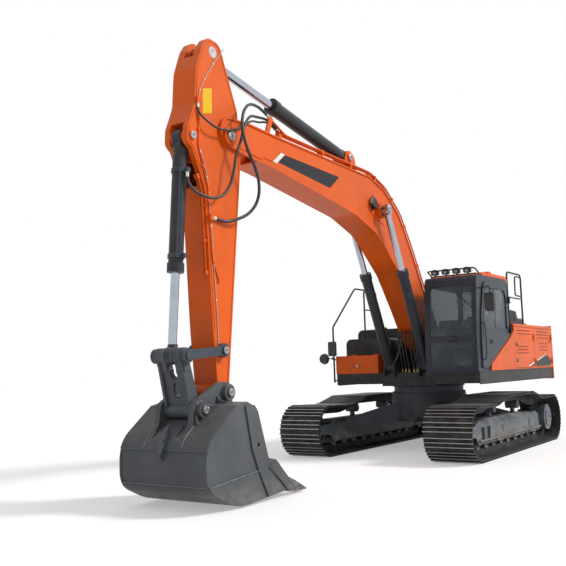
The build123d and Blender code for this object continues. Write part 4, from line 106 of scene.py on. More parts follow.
def make_camera():
    """Stands where the photograph was taken: its axes are the view's right, up and back."""
    ct, st, cp, sp = math.cos(CAMERA_TURN), math.sin(CAMERA_TURN), math.cos(CAMERA_PITCH), math.sin(CAMERA_PITCH)
    ahead = np.array([ct * cp, st * cp, sp])
    right = np.array([st, -ct, 0.0])
    up = np.cross(right, ahead)
    cr, sr = math.cos(CAMERA_ROLL), math.sin(CAMERA_ROLL)
    data = bpy.data.cameras.new("camera")
    data.sensor_width = SENSOR_WIDTH
    data.lens = CAMERA_FOCAL * SENSOR_WIDTH / FRAME_WIDTH
    data.clip_end = 500.0
    camera = bpy.data.objects.new("camera", data)
    stand(camera, cr * right + sr * up, cr * up - sr * right, -ahead, CAMERA_AT)
    bpy.context.scene.camera = camera


make_camera()


# Finishes

class Wire:
    """A value on its way through a node tree. Sums and products of wires and numbers add Math nodes."""

    def __init__(self, tree, socket):
        self.tree, self.socket = tree, socket

    def math(self, operation, *values):
        """A Math node over wires and numbers."""
        return self.tree.add("ShaderNodeMath", {"operation": operation}, *values)

    def __add__(self, other):
        return self.math("ADD", self, other)

    def __rsub__(self, other):
        return self.math("SUBTRACT", other, self)

    def __mul__(self, other):
        return self.math("MULTIPLY", self, other)

    __radd__, __rmul__ = __add__, __mul__

    def rise(self, low, high):
        """0 below low, 1 above high and a smooth step between them."""
        return self.tree.add("ShaderNodeMapRange", {"interpolation_type": "SMOOTHSTEP"}, self, low, high)


class Tree:
    """A node tree under work."""

    def __init__(self, tree):
        self.tree = tree

    def add(self, kind, settings, *values, out=0, **named):
        """Any node: its settings first, then the values or wires of its sockets, in order or by name."""
        node = self.tree.nodes.new(kind)
        for key, value in settings.items():
            setattr(node, key, value)
        for key, value in [*enumerate(values), *named.items()]:
            if isinstance(value, Wire):
                self.tree.links.new(value.socket, node.inputs[key])
            elif value is not None:
                node.inputs[key].default_value = value
        return Wire(self, node.outputs[out])

    def rays(self, *kinds):
        """1 for rays of the given kinds, else 0."""
        seen = [self.add("ShaderNodeLightPath", {}, out=f"Is {kind} Ray") for kind in kinds]
        while len(seen) > 1:
            seen[-2:] = [seen[-2].math("MAXIMUM", *seen[-2:])]
        return seen[0]


class Finish(Tree):
    """A material under work: its nodes, its shader, and the object's own coordinates."""

    def __init__(self, name, **fixed):
        self.material = bpy.data.materials.new(name)
        self.material.use_nodes = True
        super().__init__(self.material.node_tree)
        self.shader = self.tree.nodes["Principled BSDF"]
        self.place = self.add("ShaderNodeTexCoord", {}, out="Object")
        self.set(**fixed)

    def set(self, **sockets):
        """Values or wires of the shader's sockets, an underscore standing for a space."""
        for key, value in sockets.items():
            socket = self.shader.inputs[key.replace("_", " ")]
            if isinstance(value, Wire):
                self.tree.links.new(value.socket, socket)
            else:
                socket.default_value = (*value, 1.0) if isinstance(value, tuple) and len(value) == 3 else value
        return self

    def stretched(self, scale):
        """The coordinates, each axis times its scale."""
        return self.add("ShaderNodeVectorMath", {"operation": "MULTIPLY"}, self.place, scale)

    def noise(self, scale, detail=3.0, roughness=0.55, stretch=None):
        """Soft noise from 0 to 1."""
        place = self.place if stretch is None else self.stretched(stretch)
        return self.add("ShaderNodeTexNoise", {}, Vector=place, Scale=scale, Detail=detail, Roughness=roughness)

    def cells(self, scale):
        """Distance to the nearest point of a scatter."""
        return self.add("ShaderNodeTexVoronoi", {"feature": "F1"}, Vector=self.place, Scale=scale, out="Distance")

    def axis(self, name):
        """One coordinate of the surface, in metres."""
        return self.add("ShaderNodeSeparateXYZ", {}, self.place, out=name)

    def facing_up(self):
        """1 on a floor, 0 on a wall and -1 on a ceiling."""
        normal = self.add("ShaderNodeNewGeometry", {}, out="Normal")
        return self.add("ShaderNodeSeparateXYZ", {}, normal, out="Z")

    def mix(self, share, first, second):
        """Colour first where share is 0, second where it is 1."""
        node = self.tree.nodes.new("ShaderNodeMix")
        node.data_type = "RGBA"
        for key, value in ((0, share), (6, first), (7, second)):
            if isinstance(value, Wire):
                self.tree.links.new(value.socket, node.inputs[key])
            else:
                node.inputs[key].default_value = (*value, 1.0) if isinstance(value, tuple) else value
        return Wire(self, node.outputs[2])

    def bump(self, height, distance):
        """Dents and grain: height from 0 to 1 times distance, in metres."""
        normal = self.add("ShaderNodeBump", {}, Height=height, Distance=distance, Strength=1.0)
        self.set(Normal=normal)
        return self


def shade(colour, by):
    """Colour made lighter or darker."""
    return tuple(min(1.0, part * by) for part in colour)


DUST = (0.42, 0.36, 0.29)
PRIMER = (0.10, 0.095, 0.09)
RUST = (0.20, 0.085, 0.04)


def painted(name, colour, gloss=0.36, dust=0.25, chips=0.5, fade=0.10, grain=0.00025, foot=None):
    """Sprayed paint: it fades in clouds, runs darker in streaks, holds dust on top and chips to primer."""
    finish = Finish(name)
    clouds = finish.noise(1.1, 4.0)
    body = finish.mix(clouds.rise(0.32, 0.70), shade(colour, 1.0 - fade), shade(colour, 1.0 + fade))
    streaks = finish.noise(3.0, 4.0, 0.6, (3.2, 3.2, 0.35)).rise(0.56, 0.80)
    body = finish.mix(streaks * 0.30, body, shade(colour, 0.55))
    film = finish.noise(5.0, 6.0, 0.65).rise(0.38, 0.72)
    top = finish.facing_up().rise(0.35, 0.95)
    soil = film * (top * dust + dust * 0.22)
    if foot is not None:
        soil = soil.math("MAXIMUM", soil, (1.0 - finish.axis("Z").rise(foot[0], foot[1])) * (film * 0.75 + 0.1))
    body = finish.mix(soil, body, DUST)
    specks = finish.noise(46.0, 4.0, 0.7).rise(0.665, 0.70) * finish.noise(2.1, 2.0).rise(0.52, 0.62) * chips
    body = finish.mix(specks, body, PRIMER)
    rough = gloss + finish.noise(14.0, 3.0) * 0.12 + soil * 0.35 + specks * 0.2
    finish.set(Base_Color=body, Roughness=rough, Coat_Weight=0.04, Coat_Roughness=0.25, Specular_IOR_Level=0.22)
    return finish.bump(finish.noise(340.0, 2.0) * 0.5 + specks * -0.8, grain)


ORANGE = (0.745, 0.108, 0.005)
SLATE = (0.052, 0.064, 0.082)
BUCKET_GREY = (0.086, 0.094, 0.104)
FRAME_BLUE = (0.088, 0.108, 0.135)


def worn_steel(name):
    """Bare steel ground by soil: bright scuffs along the cut over a brown and grey skin."""
    finish = Finish(name, Metallic=0.75)
    scuffs = finish.noise(9.0, 5.0, 0.7, (0.6, 5.0, 2.0))
    body = finish.mix(scuffs.rise(0.35, 0.7), (0.105, 0.10, 0.10), (0.32, 0.315, 0.31))
    rusty = finish.noise(4.0, 5.0).rise(0.50, 0.72)
    body = finish.mix(rusty * 0.55, body, RUST)
    finish.set(Base_Color=body, Roughness=finish.noise(30.0, 3.0) * 0.3 + 0.38)
    return finish.bump(finish.noise(60.0, 5.0, 0.7, (1.0, 3.0, 1.0)), 0.0012)


def bucket_paint(name):
    """Slate paint that soil has rubbed off towards the cutting edge."""
    finish = painted(name, BUCKET_GREY, 0.42, 0.12, 0.8, 0.14)
    base = finish.shader.inputs["Base Color"].links[0].from_socket
    low = 1.0 - finish.axis("Z").rise(0.06, 0.34)
    rub = low * finish.noise(7.0, 6.0, 0.7).rise(0.42, 0.60)
    steel = finish.mix(finish.noise(11.0, 5.0, 0.7, (1.0, 4.0, 1.0)), (0.10, 0.095, 0.09), (0.27, 0.265, 0.26))
    finish.set(Base_Color=finish.mix(rub * 0.8, Wire(finish, base), steel), Metallic=rub * 0.6)
    return finish


def track_steel(name):
    """Rolled steel shoes: near black, dusty in the hollows, rubbed bright on the grousers' edges."""
    finish = Finish(name, Metallic=0.35)
    body = finish.mix(finish.noise(6.0, 5.0).rise(0.35, 0.7), (0.020, 0.020, 0.022), (0.050, 0.048, 0.046))
    soil = finish.noise(3.0, 6.0, 0.68).rise(0.50, 0.78)
    body = finish.mix(soil * 0.45, body, (0.15, 0.125, 0.10))
    rub = finish.noise(38.0, 4.0, 0.7).rise(0.60, 0.72)
    body = finish.mix(rub * 0.30, body, (0.26, 0.26, 0.27))
    finish.set(Base_Color=body, Roughness=0.72 - rub * 0.28)
    return finish.bump(finish.noise(110.0, 5.0, 0.7), 0.0010)


def cast(name, colour, metallic=0.0):
    """Sand-cast surface under thin paint: pebbled, with darker pores."""
    finish = Finish(name, Metallic=metallic)
    pores = finish.cells(170.0)
    body = finish.mix(finish.noise(4.0, 5.0).rise(0.3, 0.7), shade(colour, 0.75), shade(colour, 1.2))
    finish.set(Base_Color=body, Roughness=finish.noise(22.0, 3.0) * 0.2 + 0.5)
    return finish.bump(pores * 0.7 + finish.noise(90.0, 4.0) * 0.5, 0.0011)


def rubber(name, colour):
    """Hose cover: a fine cloth print in the rubber, greyed by dust."""
    finish = Finish(name)
    bloom = finish.noise(9.0, 5.0).rise(0.42, 0.75)
    finish.set(Base_Color=finish.mix(bloom * 0.5, colour, (0.075, 0.072, 0.068)),
               Roughness=bloom * 0.2 + 0.42)
    return finish.bump(finish.noise(420.0, 2.0), 0.0005)


def plated(name, colour, roughness=0.25):
    """Plated or turned metal: fine rings of the tool and thumbed dull patches."""
    finish = Finish(name, Metallic=1.0)
    dull = finish.noise(16.0, 4.0).rise(0.35, 0.75)
    finish.set(Base_Color=finish.mix(dull * 0.5, colour, shade(colour, 0.62)),
               Roughness=dull * 0.18 + roughness)
    return finish.bump(finish.noise(260.0, 3.0, 0.5, (1.0, 1.0, 4.0)), 0.00015)


def chromed(name):
    """Cylinder rod: a ground mirror with faint lengthways grinding lines and oil dust."""
    finish = Finish(name, Metallic=1.0)
    lines = finish.noise(520.0, 2.0, 0.5, (1.0, 1.0, 0.08))
    oil = finish.noise(4.0, 4.0).rise(0.45, 0.8)
    finish.set(Base_Color=finish.mix(oil * 0.4, (0.42, 0.46, 0.53), (0.28, 0.29, 0.31)),
               Roughness=lines * 0.08 + oil * 0.14 + 0.10)
    return finish.bump(lines, 0.00006)


def moulded(name, colour, roughness=0.55):
    """Moulded plastic with a leather-like grain."""
    finish = Finish(name)
    bloom = finish.noise(3.0, 5.0).rise(0.4, 0.8)
    finish.set(Base_Color=finish.mix(bloom * 0.4, colour, shade(colour, 1.7)),
               Roughness=finish.noise(30.0, 2.0) * 0.15 + roughness)
    return finish.bump(finish.cells(480.0), 0.0004)


def woven(name, colour):
    """Coarse seat cloth: two crossed waves of threads over a cloudy dye."""
    finish = Finish(name, Sheen_Weight=0.35)
    warp = finish.add("ShaderNodeTexWave", {"bands_direction": "Y"}, Vector=finish.place, Scale=95.0)
    weft = finish.add("ShaderNodeTexWave", {"bands_direction": "DIAGONAL"}, Vector=finish.place, Scale=60.0)
    thread = warp * 0.5 + weft * 0.5
    finish.set(Base_Color=finish.mix(thread, shade(colour, 0.6), shade(colour, 1.5)),
               Roughness=0.86 + thread * 0.1)
    return finish.bump(thread, 0.0009)


def pane(name, tint, clear=0.55, dusty=0.25):
    """Window glass: a dark tint that lets most of the light through, with dust thickening in clouds."""
    finish = Finish(name, IOR=1.45)
    veil = finish.noise(2.4, 3.0, 0.5).rise(0.45, 0.85) * dusty
    finish.set(Base_Color=finish.mix(veil, tint, (0.42, 0.46, 0.50)), Roughness=veil * 0.2 + 0.03,
               Alpha=veil * 0.5 + (1.0 - clear))
    return finish


def lens(name, tint):
    """Lamp lens: clear, with a fine fluted print."""
    finish = Finish(name, IOR=1.45, Transmission_Weight=0.55)
    flutes = finish.add("ShaderNodeTexWave", {"bands_direction": "Y"}, Vector=finish.place, Scale=38.0)
    finish.set(Base_Color=finish.mix(flutes * 0.4, tint, shade(tint, 0.7)), Roughness=flutes * 0.08 + 0.05)
    return finish.bump(flutes, 0.0012)


def printed(name, colour, fade=0.12):
    """Blank film stuck to the paint: even, a little chalky, scuffed at random."""
    finish = Finish(name)
    scuff = finish.noise(60.0, 5.0, 0.7).rise(0.62, 0.70) * finish.noise(5.0, 2.0).rise(0.5, 0.65)
    body = finish.mix(finish.noise(6.0, 3.0), shade(colour, 1.0 - fade), shade(colour, 1.0 + fade))
    finish.set(Base_Color=finish.mix(scuff * 0.6, body, shade(DUST, 0.7)),
               Roughness=scuff * 0.2 + 0.42, Specular_IOR_Level=0.2)
    return finish.bump(finish.noise(200.0, 2.0), 0.0001)


ORANGE_PAINT = painted("orange_paint", ORANGE, 0.36, 0.10, 0.5, 0.08)
BLACK_PAINT = painted("black_paint", (0.022, 0.024, 0.028), 0.45, 0.30, 0.5, 0.2)
SLATE_PAINT = painted("slate_paint", SLATE, 0.40, 0.20, 0.6, 0.12)
BUCKET_PAINT = bucket_paint("bucket_paint")
CAB_PAINT = painted("cab_paint", (0.029, 0.038, 0.054), 0.36, 0.10, 0.3, 0.10)
FRAME_PAINT = painted("frame_paint", FRAME_BLUE, 0.44, 0.45, 0.7, 0.14, foot=(0.15, 0.62))
TRACK_STEEL = track_steel("track_steel")
RUBBED_STEEL = plated("rubbed_steel", (0.30, 0.30, 0.31), 0.42)
BARREL_PAINT = painted("barrel_paint", (0.030, 0.035, 0.044), 0.36, 0.16, 0.5, 0.15)
# The frame paint made darker for the carbody: painted shade of the upper works over it.
FRAME_PAINT_PAINTED_SHADE = painted("frame_paint_painted_shade", (0.050, 0.058, 0.072), 0.46, 0.35, 0.6, 0.14)
ENGINE_IRON = cast("engine_iron", (0.10, 0.10, 0.10), 0.3)
WORN_STEEL = worn_steel("worn_steel")
CAST_SLATE = cast("cast_slate", (0.060, 0.068, 0.082))
CHROME = chromed("chrome")
GLASS = pane("cab_glass_clear", (0.055, 0.085, 0.105), 0.52)
DARK_GLASS = pane("door_glass_tint", (0.040, 0.070, 0.100), 0.50)
LAMP_SHELL = moulded("lamp_shell", (0.030, 0.030, 0.032), 0.4)
LAMP_LENS = lens("lamp_lens", (0.86, 0.90, 0.94))
REFLECTOR = plated("lamp_reflector", (0.86, 0.87, 0.88), 0.12)
MIRROR_SHELL = moulded("mirror_shell", (0.018, 0.018, 0.020), 0.42)
MIRROR_FACE = plated("mirror_face", (0.80, 0.84, 0.88), 0.04)
SEAT_CLOTH = woven("seat_cloth", (0.045, 0.046, 0.052))
DARK_PLASTIC = moulded("dark_plastic", (0.035, 0.036, 0.040))
HOSE_RUBBER = rubber("hose_rubber", (0.016, 0.016, 0.018))
ZINC = plated("zinc_plate", (0.60, 0.60, 0.57), 0.30)
BRASS = plated("brass_fitting", (0.66, 0.47, 0.20), 0.26)
BOLT_STEEL = plated("bolt_steel", (0.36, 0.37, 0.39), 0.36)
WHITE_FILM = printed("white_film", (0.78, 0.78, 0.76))
DARK_FILM = printed("dark_film", (0.012, 0.015, 0.018))
YELLOW_FILM = printed("yellow_film", (0.80, 0.50, 0.015))
WELD_STEEL = plated("weld_steel", (0.20, 0.21, 0.22), 0.55)
GREY_PAINT = painted("grey_paint", (0.46, 0.45, 0.43), 0.5, 0.2, 0.3, 0.1)
RED_LENS = lens("red_lens", (0.70, 0.05, 0.03))

SLOT_FINISH = {
    "orange_paint": ORANGE_PAINT, "black_paint": BLACK_PAINT, "slate_paint": SLATE_PAINT,
    "cab_paint": CAB_PAINT, "frame_paint": FRAME_PAINT, "track_steel": TRACK_STEEL,
    "engine_iron": ENGINE_IRON, "worn_steel": WORN_STEEL, "chrome": CHROME, "glass": GLASS,
    "lamp": LAMP_SHELL, "mirror": MIRROR_SHELL, "seat_fabric": SEAT_CLOTH, "dark_plastic": DARK_PLASTIC,
    "hose_rubber": HOSE_RUBBER,
}
NODE_FINISH = {
    "bucket": BUCKET_PAINT, "bucket_link": CAST_SLATE, "door_glass": DARK_GLASS, "tanks": BLACK_PAINT,
    # The carbody takes the frame paint with painted shade.
    "carbody": FRAME_PAINT_PAINTED_SHADE, "arm_cylinder_barrel": BARREL_PAINT, "bucket_cylinder_barrel": BARREL_PAINT,
    "boom_cylinder_left_barrel": BARREL_PAINT, "boom_cylinder_right_barrel": BARREL_PAINT,
}


def dress_nodes():
    """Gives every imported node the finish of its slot, or its own where it has one."""
    for row in frame["record"]["subparts"]:
        node = frame["nodes"][row["node"]]
        finish = NODE_FINISH.get(row["node"], SLOT_FINISH[row["material_slot"]])
        node.data.materials[0] = finish.material


dress_nodes()


# Meshes

class Heap:
    """Shells gathered into one mesh, as rows of points and rows of their numbers."""

    def __init__(self):
        self.points, self.faces, self.count = [], [], 0

    def grid(self, points, ring=False, lids=False, loop=False):
        """Quads over points of shape (rows, columns, 3). A ring joins each row's end to its start, a loop
        joins the last row to the first, and lids close the first and the last row."""
        points = np.asarray(points, float)
        rows, columns = points.shape[:2]
        number = self.count + np.arange(rows * columns).reshape(rows, columns)
        if ring:
            number = np.concatenate([number, number[:, :1]], axis=1)
        if loop:
            number = np.concatenate([number, number[:1]], axis=0)
        quads = np.stack([number[:-1, :-1], number[:-1, 1:], number[1:, 1:], number[1:, :-1]], axis=-1)
        self.faces.extend(quads.reshape(-1, 4).tolist())
        if lids:
            self.faces.append(number[0, :columns].tolist())
            self.faces.append(number[-1, :columns].tolist())
        self.points.append(points.reshape(-1, 3))
        self.count += rows * columns

    def make(self, name, body, finish, slot=None, sharp=38.0):
        """The mesh as a piece: doubles merged, faces turned outwards, smooth up to the sharp angle."""
        mesh = bpy.data.meshes.new(name)
        mesh.from_pydata(np.concatenate(self.points), [], self.faces)
        work = bmesh.new()
        work.from_mesh(mesh)
        bmesh.ops.remove_doubles(work, verts=work.verts, dist=1e-6)
        bmesh.ops.recalc_face_normals(work, faces=work.faces)
        work.to_mesh(mesh)
        work.free()
        mesh.shade_smooth()
        mesh.set_sharp_from_angle(angle=math.radians(sharp))
        mesh.materials.append(finish.material)
        piece = bpy.data.objects.new(name, mesh)
        bpy.context.scene.collection.objects.link(piece)
        if body:
            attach(piece, body)
        return piece


def unit(vectors):
    """Vectors of length one."""
    vectors = np.asarray(vectors, float)
    return vectors / np.linalg.norm(vectors, axis=-1, keepdims=True)


def square_to(axis):
    """Two directions square to axis and to each other."""
    axis = unit(axis)
    aside = np.array([0.0, 0.0, 1.0]) if abs(axis[2]) < 0.9 else np.array([1.0, 0.0, 0.0])
    first = unit(np.cross(aside, axis))
    return first, np.cross(axis, first)


def spokes(axis, count, start=0.0):
    """Directions evenly round an axis: first cos a + second sin a, with a from start on."""
    first, second = square_to(axis)
    angle = start + np.arange(count) * 2 * math.pi / count
    return np.cos(angle)[:, None] * first + np.sin(angle)[:, None] * second


def turned(centre, axis, profile, sides, start=0.0):
    """Grid of a profile of (radius, height) pairs turned about axis: centre + height axis + radius spoke."""
    radius, height = np.array(profile, float).T[:, :, None, None]
    return np.asarray(centre) + height * unit(axis) + radius * spokes(axis, sides, start)


def turned_shell(heap, centre, axis, profile, sides=20, start=0.0):
    """The turned profile as a closed shell."""
    heap.grid(turned(centre, axis, profile, sides, start), ring=True, lids=True)


def bolt(heap, centre, axis, across, start=0.0):
    """Six-sided head with a turned edge on a round washer, its foot a little inside the surface."""
    half = across / 2
    turned_shell(heap, centre, axis, ((half * 1.45, -0.004), (half * 1.45, 0.0025), (half * 1.3, 0.004)), 14)
    turned_shell(heap, centre, axis, (
        (half * 1.12, 0.0), (half * 1.12, half * 0.95), (half * 0.92, half * 1.15), (half * 0.5, half * 1.2)), 6, start)


def bolt_ring(heap, centre, axis, radius, count, across, start=0.0):
    """Bolts evenly round a circle."""
    for k, spoke in enumerate(spokes(axis, count, start)):
        bolt(heap, centre + radius * spoke, axis, across, start=start + 2 * math.pi * k / count)


def tube(heap, line, radius, sides):
    """Round bar along a line: rings of the given radius, or radii, carried along it without a twist."""
    line = np.asarray(line, float)
    ahead = unit(np.gradient(line, axis=0))
    first, _ = square_to(ahead[0])
    firsts = [first]
    for direction in ahead[1:]:
        first = unit(first - (first @ direction) * direction)
        firsts.append(first)
    firsts = np.array(firsts)
    seconds = np.cross(ahead, firsts)
    angle = np.arange(sides) * 2 * math.pi / sides
    rim = np.cos(angle)[None, :, None] * firsts[:, None] + np.sin(angle)[None, :, None] * seconds[:, None]
    radius = np.broadcast_to(np.asarray(radius, float), (len(line),))
    heap.grid(line[:, None] + radius[:, None, None] * rim, ring=True, lids=True)


def rounded(corners, steps=4):
    """Closed outline along (u, v, run) corners: at each a parabola from run before it to run after it,
    (1 - s)^2 start + 2 s (1 - s) corner + s^2 end, in steps + 1 points."""
    corners = np.array(corners, float)
    here, radius = corners[:, :2], corners[:, 2]
    before, after = np.roll(here, 1, axis=0), np.roll(here, -1, axis=0)
    share = np.linspace(0.0, 1.0, steps + 1)[None, :, None]
    start = here + unit(before - here) * radius[:, None]
    end = here + unit(after - here) * radius[:, None]
    curve = (1 - share) ** 2 * start[:, None] + 2 * share * (1 - share) * here[:, None] + share ** 2 * end[:, None]
    return curve.reshape(-1, 2)


def oblong(low_u, low_v, high_u, high_v, run):
    """Four corners of a rectangle, turned alike."""
    return (low_u, low_v, run), (high_u, low_v, run), (high_u, high_v, run), (low_u, high_v, run)


def narrowed(outline, depth):
    """Outline moved inwards by depth along the mean of its edges' normals."""
    before, after = np.roll(outline, 1, axis=0), np.roll(outline, -1, axis=0)
    area = np.sum(outline[:, 0] * after[:, 1] - after[:, 0] * outline[:, 1])
    tangent = unit(after - before + 1e-12)
    return outline + depth * math.copysign(1.0, area) * np.stack([-tangent[:, 1], tangent[:, 0]], axis=1)


def plate(heap, place, corners, low, high, bevel=0.003, steps=4):
    """Plate with an outline of (u, v, run) corners from low to high, its upper edge turned over by bevel.
    place takes u, v and a height to points of the machine."""
    rim = rounded(corners, steps)
    inner = narrowed(rim, bevel)
    rows = ((rim, low), (rim, high - bevel * math.copysign(1.0, high - low)), (inner, high))
    heap.grid(np.array([place(o[:, 0], o[:, 1], np.full(len(o), h)) for o, h in rows]), ring=True, lids=True)


def band(heap, place, corners, width, low, high, steps=4):
    """Frame of the given width inside an outline of (u, v, run) corners, from low to high."""
    rim = rounded(corners, steps)
    inner = narrowed(rim, width)
    rows = ((rim, low), (rim, high), (inner, high), (inner, low))
    heap.grid(np.array([place(o[:, 0], o[:, 1], np.full(len(o), h)) for o, h in rows]), ring=True, loop=True)


def flat_on(frame_of, y, left=1):
    """Place function of a side face: u along the frame, v square to it, height outwards from y."""
    return lambda u, v, h: on(frame_of, u, y + left * h, v)


def level_at(x, y, z):
    """Place function of a floor: u ahead and v to the left of (x, y), height over z."""
    return lambda u, v, h: on(MACHINE, x + u, y + v, z + h)


# Hoses over the elbow, by the points of their routes: from the boom's nozzles to the arm

def routed(*legs):
    """Points of a route, each given in the frame of the piece that it lies beside."""
    return np.array([on(frame_of, x, y, z) for frame_of, *points in legs for x, y, z in points])


FACE = 0.1803               # the arm's left face with its fittings' seat
ELBOW_HOSES = {
    "elbow_hose_long": (0.040, routed(
        (BOOM, (5.8503, 0.208, 0.790), (6.020, 0.208, 0.790)),
        (MACHINE, (5.720, 0.250, 5.005), (5.950, 0.310, 4.935), (6.130, 0.360, 4.760), (6.190, 0.388, 4.520),
         (6.090, 0.396, 4.280), (5.920, 0.394, 4.080), (5.830, 0.385, 3.860), (5.860, 0.362, 3.650),
         (6.000, 0.325, 3.485), (6.190, 0.270, 3.395)),
        (ARM, (1.110, 0.222, 0.005), (1.110, FACE + 0.027, 0.135), (1.110, FACE + 0.027, 0.2697)))),
    "elbow_hose_lower": (0.036, routed(
        (BOOM, (5.5403, 0.174, 0.790), (5.700, 0.174, 0.790), (5.870, 0.171, 0.757)),
        (MACHINE, (5.590, 0.192, 4.880), (5.770, 0.240, 4.845), (5.940, 0.297, 4.752), (6.075, 0.334, 4.592),
         (6.160, 0.344, 4.390)),
        (ARM, (0.270, 0.334, 0.0), (0.480, 0.324, 0.015), (0.680, 0.310, 0.070), (0.830, 0.295, 0.180),
         (0.892, 0.268, 0.320), (0.892, 0.232, 0.420), (0.862, 0.186, 0.530), (0.797, 0.145, 0.614),
         (0.716, 0.125, 0.6565), (0.6236, 0.125, 0.6557)))),
    "elbow_hose_short": (0.028, routed(
        (BOOM, (5.5403, 0.138, 0.790), (5.680, 0.138, 0.790), (5.830, 0.140, 0.745)),
        (MACHINE, (5.500, 0.156, 4.834), (5.680, 0.204, 4.802), (5.850, 0.254, 4.738), (6.010, 0.284, 4.640),
         (6.160, 0.290, 4.556), (6.320, 0.290, 4.500), (6.480, 0.288, 4.480), (6.600, 0.284, 4.482)),
        (ARM, (-0.020, 0.275, 0.445), (-0.055, 0.252, 0.500), (-0.098, 0.222, 0.560), (-0.165, 0.1975, 0.5855),
         (-0.2497, FACE + 0.016, 0.586)))),
}
LINE_STEPS = 10             # points of the smooth line for each point of the route


def smooth_line(points):
    """The route's own NURBS line, read from a curve with no bevel."""
    curve = bpy.data.curves.new("route", "CURVE")
    curve.dimensions = "3D"
    spline = curve.splines.new("NURBS")
    spline.points.add(len(points) - 1)
    spline.points.foreach_set("co", np.concatenate([points, np.ones((len(points), 1))], axis=1).ravel())
    spline.order_u = 3
    spline.use_endpoint_u = True
    spline.resolution_u = LINE_STEPS
    holder = bpy.data.objects.new("route", curve)
    bpy.context.scene.collection.objects.link(holder)
    bpy.context.view_layer.update()
    mesh = bpy.data.meshes.new_from_object(holder)
    line = np.zeros(len(mesh.vertices) * 3)
    mesh.vertices.foreach_get("co", line)
    bpy.data.objects.remove(holder)
    bpy.data.meshes.remove(mesh)
    return line.reshape(-1, 3)


NUT, SLIM_NUT = 1.42, 1.16          # half width of a hose's nut by the hose's radius


def ferrule(heap, end, ahead, radius, nut=NUT):
    """Crimped sleeve and nut of a hose's end: rings of ribs, then a six-sided nut against the fitting."""
    ribs = [(radius * (nut - 0.10 if k % 2 else max(nut - 0.24, 1.03)), -0.060 + k * 0.006) for k in range(8)]
    turned_shell(heap, end, ahead, ((radius * 0.98, -0.064), *ribs, (radius * (nut - 0.12), -0.016)), 16)
    turned_shell(heap, end, ahead, ((radius * (nut - 0.08), -0.017), (radius * nut, -0.015),
                                    (radius * nut, -0.003), (radius * (nut - 0.08), -0.0004)), 6)


def make_hose(name, line, diameter, sides, turning, nuts, instead_of=None):
    """Tube on a smooth line.
    A ferrule rides at each end: nuts holds its name, body, finish and width. turning is not used."""
    heap = Heap()
    tube(heap, line, diameter / 2, sides)
    hose = heap.make(name, None, HOSE_RUBBER, "hose_rubber", sharp=60)
    for (nut, body, finish, width), (last, before) in zip(nuts, ((line[0], line[1]), (line[-1], line[-2]))):
        heap = Heap()
        ferrule(heap, last, last - before, diameter / 2, width)
        heap.make(nut, body, finish)
    tuple(turning[0])
    tuple(turning[1])
    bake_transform(hose)
    if instead_of:
        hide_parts(instead_of)


def make_elbow_hoses():
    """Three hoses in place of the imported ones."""
    turning = (on(BOOM, 6.10, 0.2, 0.75), on(ARM, 0.45, 0.3, 0.25))
    for name, (diameter, points) in ELBOW_HOSES.items():
        far_body = "bucket_cylinder_barrel" if name == "elbow_hose_lower" else "arm"
        width = SLIM_NUT if name == "elbow_hose_long" else NUT     # this one passes the arm's pin closely
        make_hose(name + "_cover", smooth_line(points), diameter, 14, turning, (
            (name + "_first_nut", "boom", ZINC, width), (name + "_last_nut", far_body, ZINC, NUT)), name)


make_elbow_hoses()


# Pins

# The plate's profile: share of the radius, and height at a rise of 1
PIN_PLATE = ((1.0, 0.008), (0.93, 0.011), (0.42, 0.011), (0.36, 0.006), (0.16, 0.006), (0.13, 0.020), (0.06, 0.024))
PIN_ENDS = (
    # frame, x, z, outer face, radius, bolts, rise, body; one lies flat, as a hose passes it
    (BOOM, 6.505, 0.0, 0.2630, 0.066, 4, 1.0, "boom"),
    (BOOM, 2.619, 1.228, 0.4217, 0.064, 4, 1.0, "boom"),
    (BOOM, 0.0, 0.0, 0.2620, 0.080, 4, 1.0, "upper_works"),
    (BOOM, 3.615, 1.658, 0.1360, 0.056, 3, 1.0, "boom"),
    (ARM, -1.008, 0.317, 0.1800, 0.074, 4, 0.15, "arm"),
    (ARM, 0.178, 0.652, 0.1960, 0.050, 3, 1.0, "arm"),
    (ARM, 2.693, 0.021, 0.2730, 0.046, 3, 1.0, "side_links"),
    (BUCKET, 0.0, 0.0, 0.3470, 0.048, 3, 1.0, "bucket"),
    (BUCKET, 0.4693, -0.1783, 0.3470, 0.048, 3, 1.0, "bucket"),
)


def make_pin_ends():
    """Retaining plates over the pins: a dished disc with bolts round a grease nipple, on both sides."""
    heaps = {}
    for frame_of, x, z, face, radius, count, rise, body in PIN_ENDS:
        plates, bolts = heaps.setdefault(body, (Heap(), Heap()))
        for left in (-1, 1):
            out = left * ACROSS
            centre = on(frame_of, x, left * face, z)
            turned_shell(plates, centre, out, ((radius, -0.004), *((radius * r, rise * h) for r, h in PIN_PLATE)), 28)
            bolt_ring(bolts, centre + (0.018 * rise - 0.007) * out, out, 0.68 * radius, count,
                      radius * (0.14 + 0.16 * rise), 0.5 * math.pi / count)
    for body, (plates, bolts) in heaps.items():
        plates.make(f"pin_plates_{body}", body, BOLT_STEEL)
        bolts.make(f"pin_bolts_{body}", body, ZINC)


make_pin_ends()


# Undercarriage

TRACK_MIDDLE = 1.340        # y of a track's middle
TUMBLER = (2.020, 0.445)    # x from the slewing axis and height of sprocket and idler
HUB_FACE = 1.602            # y of the final drive's end


